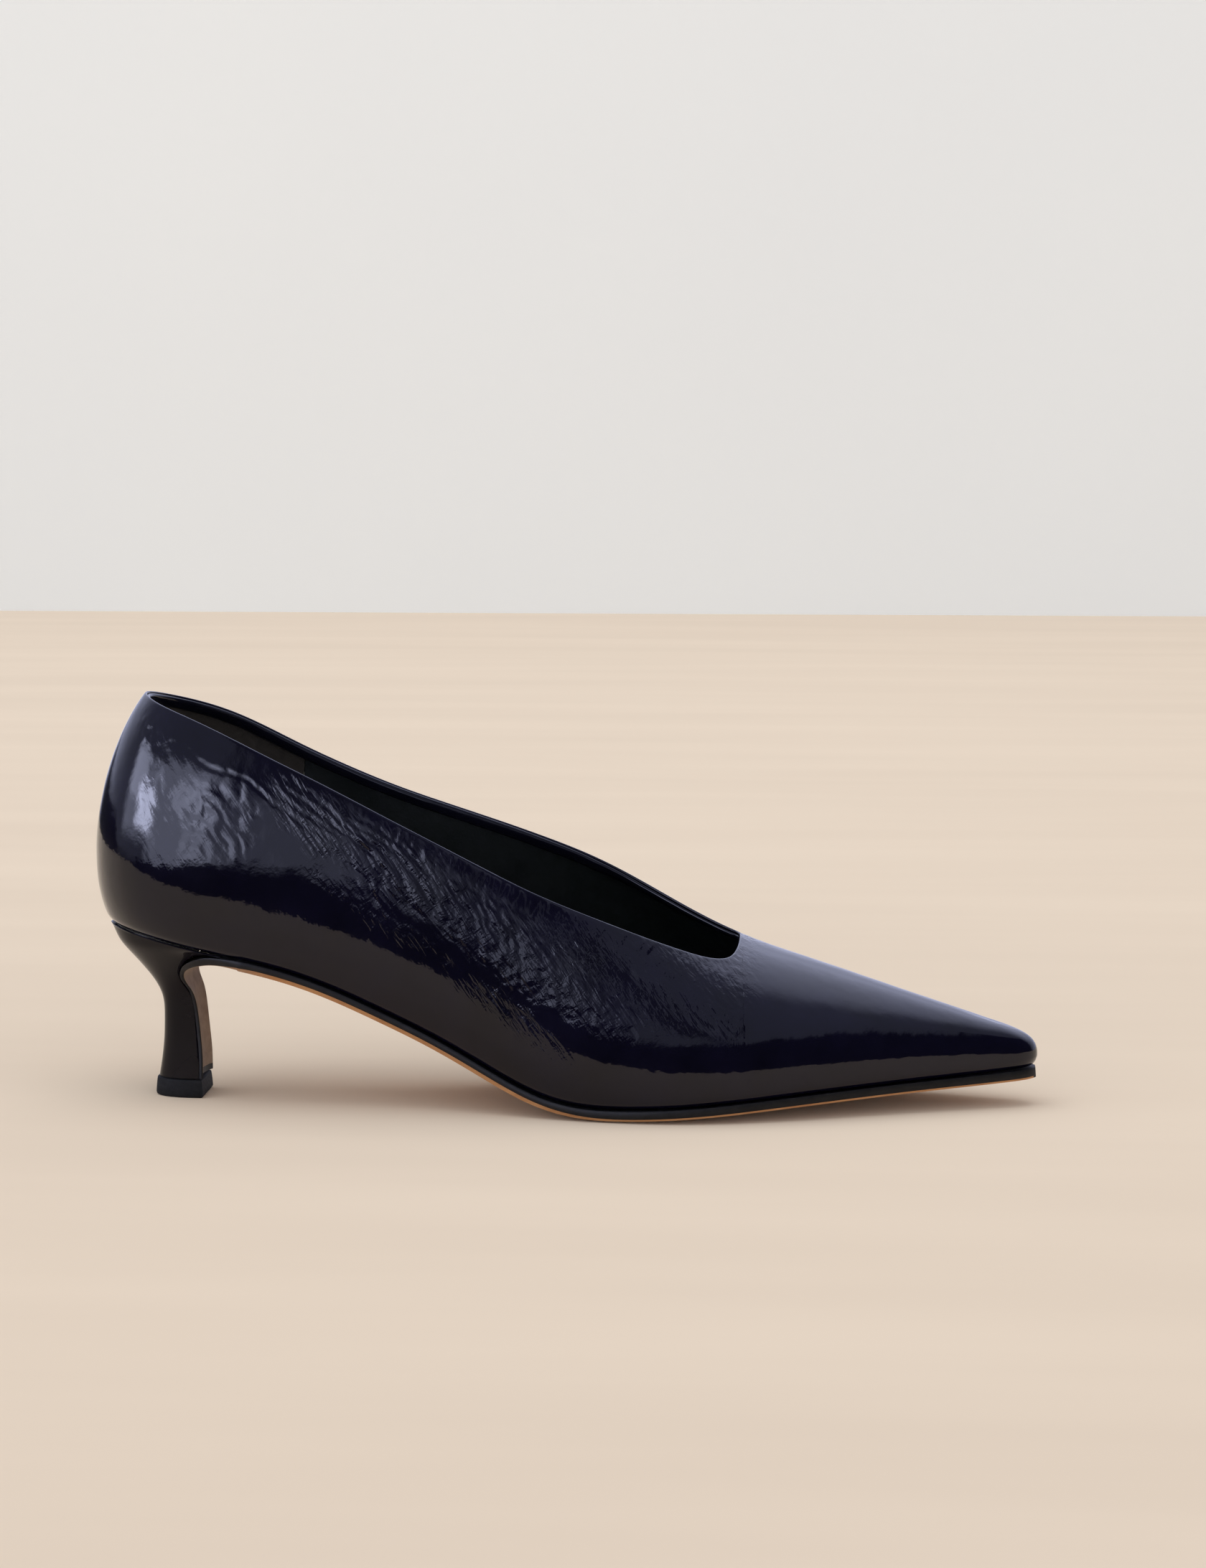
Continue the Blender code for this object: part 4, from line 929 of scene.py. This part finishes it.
def add_heel_cover(finish):
    """The patent cover of the heel: a thin shell with rolled rims at the breast and round the seat."""
    grid = heel_grid(HEEL, u_at(feather_x, WING_X), columns=97, rows=90)
    outer, inner = keep_in_heel(grid.copy()), heel_inside(grid, COVER_T)
    swell = 0.05 * smooth(0, 6, grid[..., 2] - 8) * noise(grid / 7.0, 61)
    normal = outer - inner
    normal = normal / np.maximum(np.linalg.norm(normal, axis=-1, keepdims=True), 0.2)
    outer = outer + normal * swell[..., None]
    turn = np.linspace(0, math.pi, 7)[1:-1]
    rims = []
    for end, beside in ((-1, -2), (0, 1)):
        first, second = (outer, inner) if end else (inner, outer)
        beyond = unit(grid[:, end] - grid[:, beside])
        middle, half = (first[:, end] + second[:, end]) / 2, (first[:, end] - second[:, end]) / 2
        rolled = [middle + half * math.cos(t) + beyond * RIM_ROLL * math.sin(t) for t in turn]
        rims.append(np.stack(rolled, 1))
    rings = np.concatenate([outer, rims[0], inner[:, ::-1], rims[1]], 1)
    facing = np.concatenate([inner, rims[0], outer[:, ::-1], rims[1]], 1)
    caps = []
    for share, climb in SEAT_RIM:
        cap = rings[-1] + (facing[-1] - rings[-1]) * share
        cap[:, 2] += climb - RIM_DIP
        caps.append(cap)
    rings[-1, :, 2] -= RIM_DIP
    foot = rings[0] + (facing[0] - rings[0]) * 0.5
    rings = np.concatenate([foot[None], rings, np.stack(caps)])
    count, bend = grid.shape[1], len(turn)
    faces = list(ring_faces(*rings.shape[:2]))
    for layer in (0, len(rings) - 1):
        for start in (count, 2 * count + bend):
            rim = layer * rings.shape[1] + np.arange(start - 1, start + bend + 1) % rings.shape[1]
            faces.append(rim if layer else rim[::-1])
    piece = add_piece("patent_heel_cover", rings, faces, finish)
    return belongs(piece, "heel_patent", "heel_cover")


def add_top_lift(finish):
    """The rubber tread of the heel, with its edges worn round."""
    turn = half_turn(73)
    rings = []
    for z, grow in LIFT_SECTION:
        x, y, _ = horseshoe(turn, TREAD_FRONT + grow, TREAD_BACK - grow, TREAD_HALF + grow)
        rings.append(np.stack([x, y, z + 0 * x], -1))
    rings = np.stack(rings)
    faces = list(ring_faces(*rings.shape[:2])) + end_fans(*rings.shape[:2])
    piece = add_piece("rubber_top_lift", rings, faces, finish, edge_angle=40)
    return belongs(piece, "lift_rubber", "top_lift")


# -------------------- finishes
class Finish:
    """A procedural material: nodes around one Principled shader, in the shoe's own coordinates."""

    def __init__(self, name):
        self.material = bpy.data.materials.new(name)
        self.material.use_nodes = True
        self.tree = self.material.node_tree
        self.shader = self.tree.nodes["Principled BSDF"]
        self.place = self.add("ShaderNodeTexCoord").outputs["Object"]

    def add(self, kind, **settings):
        node = self.tree.nodes.new(kind)
        for key, value in settings.items():
            if hasattr(node, key):
                setattr(node, key, value)
            else:
                self.feed(node.inputs[key], value)
        return node

    def feed(self, socket, value):
        if isinstance(value, bpy.types.NodeSocket):
            self.tree.links.new(value, socket)
        else:
            socket.default_value = value

    def set(self, **values):
        for key, value in values.items():
            self.feed(self.shader.inputs[key.replace("_", " ")], value)

    def grain(self, scale, detail=3.0, stretch=None, roughness=0.5, distortion=0.0, heading=0.0):
        """Noise from 0 to 1 with scale cells a metre, drawn out by stretch along x, y and z.
        heading first turns it nose-down in the side view, in degrees."""
        place = self.place
        if heading:
            turned = self.add("ShaderNodeMapping", Vector=place)
            turned.inputs["Rotation"].default_value = (0, -math.radians(heading), 0)
            place = turned.outputs[0]
        if stretch:
            mapping = self.add("ShaderNodeMapping", Vector=place)
            mapping.inputs["Scale"].default_value = stretch
            place = mapping.outputs[0]
        node = self.add("ShaderNodeTexNoise", Vector=place, Scale=scale, Detail=detail)
        node.inputs["Roughness"].default_value = roughness
        node.inputs["Distortion"].default_value = distortion
        return node.outputs["Fac"]

    def spots(self, scale):
        node = self.add("ShaderNodeTexVoronoi", Vector=self.place, Scale=scale)
        return node.outputs["Distance"]

    def sums(self, operation, first, second, third=None):
        node = self.add("ShaderNodeMath", operation=operation)
        for socket, value in zip(node.inputs, (first, second, third)):
            if value is not None:
                self.feed(socket, value)
        return node.outputs[0]

    def ramp(self, value, *stops):
        """Colours or grey levels along a value: (place, colour) pairs."""
        node = self.add("ShaderNodeValToRGB", Fac=value)
        elements = node.color_ramp.elements
        while len(elements) < len(stops):
            elements.new(0.5)
        for element, (place, colour) in zip(elements, stops):
            element.position = place
            colour = (colour,) * 3 if isinstance(colour, (int, float)) else colour
            element.color = (*colour, 1)
        return node.outputs["Color"]

    def mix(self, share, first, second):
        node = self.add("ShaderNodeMix", data_type="RGBA")
        self.feed(node.inputs["Factor"], share)
        for socket, value in ((node.inputs[6], first), (node.inputs[7], second)):
            self.feed(socket, (*value, 1) if isinstance(value, tuple) else value)
        return node.outputs[2]

    def axis(self, name):
        node = self.add("ShaderNodeSeparateXYZ", Vector=self.place)
        return node.outputs[name]

    def attribute(self, name):
        return self.add("ShaderNodeAttribute", attribute_name=name).outputs["Fac"]

    def bump(self, height, distance, strength=1.0, under=None):
        node = self.add("ShaderNodeBump", Height=height, Distance=distance, Strength=strength)
        if under is not None:
            self.feed(node.inputs["Normal"], under)
        return node.outputs["Normal"]


def patent(name, dark, light, peel, crinkles, gloss=1.0):
    """Patent leather: a dark dyed base under a thick clear gloss with a faint orange-peel surface."""
    finish = Finish(name)
    colour = finish.ramp(finish.grain(60, 4.0), (0.35, dark), (0.65, light))
    soft = finish.bump(finish.grain(420, 2.0), 0.00006, peel)
    fine = finish.bump(finish.grain(1500, 2.0), 0.000012, peel, under=soft)
    if crinkles:
        mask = finish.attribute("crinkle")
        layers = (
            (finish.grain(560, 2.0, stretch=(0.15, 0.5, 1.0), distortion=0.25, heading=55), 0.00032),
            (finish.grain(620, 2.0, stretch=(0.40, 0.6, 1.0), distortion=0.5, heading=-35), 0.00012),
            (finish.grain(1300, 2.0), 0.00003),
        )
        for noise_level, depth in layers:
            ridged = finish.sums("ABSOLUTE", finish.sums("SUBTRACT", noise_level, 0.5), 0)
            fine = finish.bump(finish.sums("MULTIPLY", ridged, mask), depth, 1.0, under=fine)
    rough = finish.ramp(finish.grain(140, 4.0), (0.3, 0.20), (0.7, 0.28))
    finish.set(Base_Color=colour, Roughness=rough, Normal=fine, Coat_Normal=fine)
    if crinkles:
        # Painted shade: the coat's gloss falls to 0.43 in the folds that the upper marks as shaded.
        gloss = finish.ramp(finish.attribute("painted_crease_shade"), (0.0, 1.0), (1.0, 0.43))
    finish.set(Specular_IOR_Level=0.02, Coat_Weight=gloss, Coat_Roughness=0.04, Coat_IOR=1.43)
    return finish.material


def smooth_leather(name, dark, light):
    """Fine dyed lining leather: pores and small creases under a half-matt surface."""
    finish = Finish(name)
    colour = finish.ramp(finish.grain(110, 5.0), (0.3, dark), (0.7, light))
    pores = finish.bump(finish.spots(1500), 0.00005, 0.5)
    creases = finish.bump(finish.grain(330, 4.0, distortion=0.8), 0.00018, 0.6, under=pores)
    rough = finish.ramp(finish.grain(260, 3.0), (0.3, 0.46), (0.7, 0.62))
    finish.set(Base_Color=colour, Roughness=rough, Normal=creases, IOR=1.45)
    return finish.material


def suede(name):
    """Dark suede: a brushed nap of two tones that catches a little light at its edge."""
    finish = Finish(name)
    nap = finish.grain(170, 6.0, roughness=0.7, distortion=0.5)
    colour = finish.ramp(nap, (0.3, (0.016, 0.013, 0.012)), (0.7, (0.040, 0.034, 0.031)))
    fibres = finish.bump(finish.grain(2600, 4.0, roughness=0.8), 0.00022, 0.9)
    finish.set(Base_Color=colour, Roughness=finish.ramp(nap, (0.2, 0.90), (0.8, 0.98)), Normal=fibres)
    finish.set(Sheen_Weight=0.25, Sheen_Roughness=0.5, Specular_IOR_Level=0.3)
    return finish.material


def sole_leather(name):
    """Tan sole leather, warmer forward of the heel, with black paint on its edge and on the flap's foot."""
    finish = Finish(name)
    fibre = finish.grain(260, 6.0, stretch=(0.25, 1.0, 1.0), roughness=0.65)
    breast = finish.ramp(fibre, (0.3, (0.21, 0.15, 0.11)), (0.7, (0.33, 0.25, 0.19)))
    tread = finish.ramp(fibre, (0.3, (0.38, 0.17, 0.07)), (0.7, (0.52, 0.27, 0.12)))
    along = finish.ramp(finish.sums("MULTIPLY", finish.axis("X"), 10.0), (0.11, 0.0), (0.30, 1.0))
    tan = finish.mix(along, breast, tread)
    worn = finish.sums("ADD", finish.attribute("paint"), finish.sums("MULTIPLY", fibre, 0.10))
    painted = finish.sums("GREATER_THAN", worn, 0.55)
    height = finish.sums("MULTIPLY", finish.axis("Z"), 100.0)
    height = finish.sums("ADD", height, finish.sums("MULTIPLY", fibre, 0.04))
    foot = finish.sums("LESS_THAN", height, 0.74)
    flap = finish.sums("LESS_THAN", finish.axis("X"), 0.012)
    painted = finish.sums("MAXIMUM", painted, finish.sums("MULTIPLY", foot, flap))
    black = finish.ramp(finish.grain(300, 3.0), (0.3, (0.006, 0.006, 0.007)), (0.7, (0.012, 0.012, 0.013)))
    colour = finish.mix(painted, tan, black)
    rough = finish.sums("MULTIPLY_ADD", painted, -0.16, 0.66)
    grain = finish.bump(finish.grain(900, 5.0, stretch=(0.4, 1.0, 1.0)), 0.00008, 0.7)
    finish.set(Base_Color=colour, Roughness=rough, Normal=grain, Specular_IOR_Level=0.25)
    return finish.material


def plain(name, dark, light, rough, scale=200.0, relief=0.00005, metallic=0.0, stretch=None, shine=0.5):
    """A hidden or matt material: two near tones, an uneven surface and a slightly varied gloss."""
    finish = Finish(name)
    grain = finish.grain(scale, 5.0, stretch=stretch)
    colour = finish.ramp(grain, (0.3, dark), (0.7, light))
    level = finish.ramp(finish.grain(scale * 2.3, 3.0), (0.3, rough - 0.06), (0.7, rough + 0.06))
    uneven = finish.bump(finish.grain(scale * 4, 4.0, stretch=stretch), relief, 0.8)
    finish.set(Base_Color=colour, Roughness=level, Normal=uneven)
    finish.set(Metallic=metallic, Specular_IOR_Level=shine)
    return finish.material


def woven(name):
    """Plain cotton tape."""
    finish = Finish(name)
    wave = finish.add("ShaderNodeTexWave", Vector=finish.place, Scale=900.0, Distortion=1.5)
    threads = wave.outputs["Fac"]
    colour = finish.ramp(threads, (0.2, (0.56, 0.56, 0.53)), (0.8, (0.74, 0.74, 0.72)))
    finish.set(Base_Color=colour, Roughness=finish.ramp(threads, (0.2, 0.86), (0.8, 0.95)))
    finish.set(Normal=finish.bump(threads, 0.0001, 0.8))
    return finish.material


def cellular(name, dark, light, scale):
    """Foam or cork: cells of varying tone with a rough surface."""
    finish = Finish(name)
    cells = finish.spots(scale)
    tone = finish.sums("MULTIPLY", cells, scale * 0.9 / 1000 + 0.6)
    colour = finish.ramp(tone, (0.1, dark), (0.7, light))
    finish.set(Base_Color=colour, Roughness=finish.ramp(cells, (0.0, 0.82), (1.0, 0.95)))
    finish.set(Normal=finish.bump(cells, 0.0002, 0.7))
    return finish.material


# -------------------- building it
def dress_hidden_parts():
    """Procedural finishes for the CAD's own solids that stay as they are, inside the shoe."""
    board = plain("stiffener_board", (0.50, 0.45, 0.37), (0.60, 0.55, 0.46), 0.75)
    fibre = plain("insole_fibre_board", (0.40, 0.29, 0.19), (0.50, 0.37, 0.25), 0.85, scale=400.0)
    plastic = plain("heel_core_plastic", (0.56, 0.56, 0.54), (0.64, 0.64, 0.62), 0.45, scale=120.0)
    drawn = {"scale": 600.0, "relief": 0.00002, "metallic": 1.0, "stretch": (0.1, 1, 1)}
    steel = plain("drawn_steel", (0.44, 0.44, 0.46), (0.58, 0.58, 0.60), 0.34, **drawn)
    turned = {"scale": 900.0, "relief": 0.00002, "metallic": 1.0}
    bright = plain("fastener_steel", (0.52, 0.52, 0.52), (0.66, 0.66, 0.66), 0.30, **turned)
    chosen = {
        "heel_counter": board,
        "toe_puff": board,
        "insole_board": fibre,
        "heel_block": plastic,
        "shank": steel,
        "bottom_filler": cellular("filler_cork", (0.34, 0.22, 0.12), (0.58, 0.42, 0.26), 500.0),
        "topline_tape": woven("woven_tape"),
    }
    for name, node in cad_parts.items():
        node.data.materials.clear()
        node.data.materials.append(chosen.get(name, bright))


def build_shoe():
    """Every piece with its finish. The colours are linear."""
    navy = patent("navy_patent", (0.0016, 0.0013, 0.0064), (0.0030, 0.0026, 0.0115), 0.5, True)
    strip = patent("navy_patent_strip", (0.0022, 0.0022, 0.0060), (0.0040, 0.0040, 0.0100), 0.30, False)
    # Painted shade: the heel's coat is cut to 0.42 of full gloss, darkening the shine it mirrors.
    heel = patent("heel_patent", (0.0034, 0.0028, 0.0056), (0.0062, 0.0050, 0.0086), 0.22, False, 0.42)
    lining = smooth_leather("black_lining_leather", (0.0030, 0.0050, 0.0044), (0.0058, 0.0085, 0.0075))
    foam = cellular("sock_foam", (0.66, 0.62, 0.52), (0.80, 0.77, 0.68), 700.0)
    moulded = {"scale": 500.0, "relief": 0.00006, "shine": 0.2}
    rubber = plain("black_rubber", (0.0055, 0.0058, 0.0062), (0.0095, 0.0098, 0.0102), 0.72, **moulded)
    add_upper(navy)
    add_binding(strip)
    add_linings(lining, suede("grip_suede"))
    add_insole_layers(lining, foam)
    add_sole(sole_leather("tan_sole_leather"))
    add_heel_cover(heel)
    add_top_lift(rubber)
    dress_hidden_parts()


# -------------------- floor, wall, light and camera, in metres
FLOOR_REACH = 6.0  # the floor and the wall run this far to each side
FLOOR_FRONT = -4.0
WALL_Y = 2.0
WALL_HEIGHT = 4.0
CARD_REACH = 3.0  # the dark cards that the gloss mirrors low down in front of the shoe
CARD_FRONT = -0.45
CARD_LIFT = 0.004
# The edge of the dark floor card towards the shoe: x and y.
CARD_EDGE = (
    (-3, -0.27), (-0.02, -0.26), (0.01, -0.19), (0.04, -0.145), (0.10, -0.10), (0.21, -0.08), (3, -0.40)
)
ROOM_RADIUS = 1.1
ROOM_MIDDLE = (0.05, 0.0, 0.04)
ROOM_LIGHT = 0.48  # brightness of the mirrored room, and of its dark part
ROOM_DARK = 0.04
# Bright and dim zones: azimuths and heights between, how soft across and up, and how bright.
WINDOWS = (
    (-66, -57, 12, 20, 7, 5, 12.5),
    (-82, -55, 9, 27, 10, 6, 2.3),
    (-84, -68, 19, 28, 7, 5, 3.0),
    (-50, -18, 1, 31, 10, 6, 2.4),
    (-32, -19, 19, 25, 6, 4, 2.8),
    (-26, -16, 1, 6, 5, 2, 1.4),
    (-22, -15, 8, 29, 5, 5, 0.95),
    (-14, -4, 1, 26, 6, 5, 0.55),
    (-7, 4, 25, 60, 5, 6, -0.38),
    (9, 11, 24, 60, 3, 6, 0.22),
    (15, 28, 24, 60, 4, 6, -0.38),
    (31, 33, 32, 60, 3, 6, 0.25),
)
# Azimuths, and the height up to which the room is dark there.
DARK_TOP = (
    (-140, -100, -92, -60, -25, -15, -8, 0, 10, 34, 46, 66, 80, 100),
    (7, 7, -1, -1, -1, 2, 1, 4, 9, 23, 31, 42, 48, 40),
)
LAMP_PLACE = (-0.6, 0.0, 3.4)
LAMP_SIZE = (4.0, 3.0)
LAMP_TILT = -8  # degrees
LAMP_POWER = 55.0
WORLD_LIGHT = 0.76
CAMERA_PLACE = (0.1951, -1.0875, 0.2100)
CAMERA_FORWARD = (-0.06933, 0.99144, -0.11068)
CAMERA_UP = (-0.00772, 0.11041, 0.99386)
CAMERA_LENS = 90.62
CAMERA_FILM = 36  # lens and film width in millimetres


def only_mirrored(obj):
    """Shows an object to mirrored rays alone."""
    obj.visible_camera = obj.visible_diffuse = obj.visible_shadow = obj.visible_transmission = False


def staged(name, corners, finish):
    """One flat face of the stage."""
    mesh = bpy.data.meshes.new(name)
    mesh.from_pydata(corners, [], [range(len(corners))])
    obj = placed(name, mesh, finish)
    return obj


def glow(name, colour, strength):
    """A material that only shines. Also returns its emission node."""
    material = bpy.data.materials.new(name)
    material.use_nodes = True
    tree = material.node_tree
    tree.nodes.clear()
    light = tree.nodes.new("ShaderNodeEmission")
    light.inputs["Color"].default_value = (*colour, 1)
    light.inputs["Strength"].default_value = strength
    output = tree.nodes.new("ShaderNodeOutputMaterial")
    tree.links.new(light.outputs[0], output.inputs["Surface"])
    return material, light


def build_stage():
    """The floor, the wall, what the gloss mirrors, the lamp and the light of the room."""
    floor = Finish("pale_floor")
    streak = floor.grain(9, 3.0, stretch=(0.25, 1.6, 1.0))
    tone = floor.ramp(streak, (0.3, (0.728, 0.620, 0.517)), (0.7, (0.760, 0.650, 0.543)))
    matt = floor.add("ShaderNodeBsdfDiffuse", Color=tone, Roughness=0.6)
    floor.feed(floor.tree.nodes["Material Output"].inputs["Surface"], matt.outputs[0])
    left, right = -FLOOR_REACH, FLOOR_REACH
    near = [(left, FLOOR_FRONT, 0), (right, FLOOR_FRONT, 0)]
    staged("floor", near + [(right, WALL_Y, 0), (left, WALL_Y, 0)], floor.material)

    wall = Finish("pale_wall")
    shade = wall.ramp(wall.grain(2.0, 2.0), (0.3, (0.905, 0.94, 0.97)), (0.7, (0.925, 0.96, 0.985)))
    wall.set(Base_Color=shade, Roughness=wall.ramp(wall.grain(3.0), (0.3, 0.85), (0.7, 0.95)))
    foot = [(left, WALL_Y, 0), (right, WALL_Y, 0)]
    staged("wall", foot + [(right, WALL_Y, WALL_HEIGHT), (left, WALL_Y, WALL_HEIGHT)], wall.material)

    dark, _ = glow("dark_room", (0.80, 0.85, 1.0), 0.03)
    left, right = -CARD_REACH, CARD_REACH
    edge = [(x, y, CARD_LIFT) for x, y in CARD_EDGE]
    rim = edge + [(right, CARD_FRONT, CARD_LIFT), (left, CARD_FRONT, CARD_LIFT)]
    only_mirrored(staged("dark_floor_ahead", rim, dark))
    foot = [(left, CARD_FRONT, 0), (right, CARD_FRONT, 0)]
    upright = foot + [(right, CARD_FRONT, 0.045), (left, CARD_FRONT, 0.040)]
    only_mirrored(staged("dark_low_ahead", upright, dark))
    add_room()

    soft = bpy.data.lights.new("soft_overhead", "AREA")
    soft.shape = "RECTANGLE"
    soft.size, soft.size_y = LAMP_SIZE
    soft.energy = LAMP_POWER
    soft.color = (1.0, 0.985, 0.97)
    lamp = bpy.data.objects.new("soft_overhead", soft)
    tilt = Matrix.Rotation(math.radians(LAMP_TILT), 4, "Y")
    lamp.matrix_world = Matrix.Translation(LAMP_PLACE) @ tilt
    lamp.visible_camera = lamp.visible_glossy = False
    bpy.context.scene.collection.objects.link(lamp)

    world = bpy.data.worlds.new("pale_room")
    world.use_nodes = True
    sky = world.node_tree.nodes["Background"]
    sky.inputs["Color"].default_value = (0.985, 0.99, 1.0, 1)
    sky.inputs["Strength"].default_value = WORLD_LIGHT
    bpy.context.scene.world = world


def band(value, low, high, soft):
    """1 between low and high, easing to 0 outside them."""
    return smooth(low - soft, low, value) * (1 - smooth(high, high + soft, value))


def room_light(azimuth, elevation):
    """Brightness of the room as the gloss sees it. Azimuth is 0 in front and 90 on the right."""
    behind = smooth(98, 135, np.abs(azimuth))
    level = ROOM_LIGHT + behind * (0.55 + 0.50 * smooth(18, 28, elevation))
    for left, right, low, high, soft_side, soft_up, bright in WINDOWS:
        zone = band(azimuth, left, right, soft_side) * band(elevation, low, high, soft_up)
        level = level + bright * zone
    over_dark = elevation - np.interp(azimuth, *DARK_TOP)
    dark = smooth(-160, -140, azimuth) * (1 - smooth(100, 112, azimuth)) * (1 - smooth(-1.5, 1.5, over_dark))
    return level + (ROOM_DARK - level) * dark


def add_room():
    """A dome that only mirrored rays see: the dim room, its window and its dark corners."""
    azimuth, elevation = np.meshgrid(np.linspace(-180, 180, 181), np.linspace(-4, 90, 60), indexing="ij")
    a, e = np.radians(azimuth), np.radians(elevation)
    spots = np.stack([np.sin(a) * np.cos(e), -np.cos(a) * np.cos(e), np.sin(e)], -1)
    spots = spots * ROOM_RADIUS + ROOM_MIDDLE
    columns, rows = azimuth.shape
    start = (np.arange(columns - 1)[:, None] * rows + np.arange(rows - 1)).reshape(-1)
    faces = np.stack([start, start + rows, start + rows + 1, start + 1], -1)
    mesh = bpy.data.meshes.new("room")
    mesh.from_pydata(spots.reshape(-1, 3).tolist(), [], faces.tolist())
    give_values(mesh, "light", room_light(azimuth, elevation))
    material, emission = glow("room_glow", (0.70, 0.74, 1.0), 1.0)
    level = material.node_tree.nodes.new("ShaderNodeAttribute")
    level.attribute_name = "light"
    material.node_tree.links.new(level.outputs["Fac"], emission.inputs["Strength"])
    material.cycles.emission_sampling = "NONE"
    room = placed("room", mesh, material)
    only_mirrored(room)


def add_camera():
    """The camera that took the photo, as its perspective shows it."""
    forward, up = Vector(CAMERA_FORWARD), Vector(CAMERA_UP)
    right = forward.cross(up).normalized()
    axes = Matrix((right, up, -forward)).transposed().to_4x4()
    camera = bpy.data.cameras.new("camera")
    camera.lens = CAMERA_LENS
    camera.sensor_width = CAMERA_FILM
    obj = bpy.data.objects.new("camera", camera)
    obj.matrix_world = Matrix.Translation(CAMERA_PLACE) @ axes
    bpy.context.scene.collection.objects.link(obj)
    bpy.context.scene.camera = obj


build_shoe()
build_stage()
add_camera()
bpy.context.scene.view_settings.view_transform = "Standard"
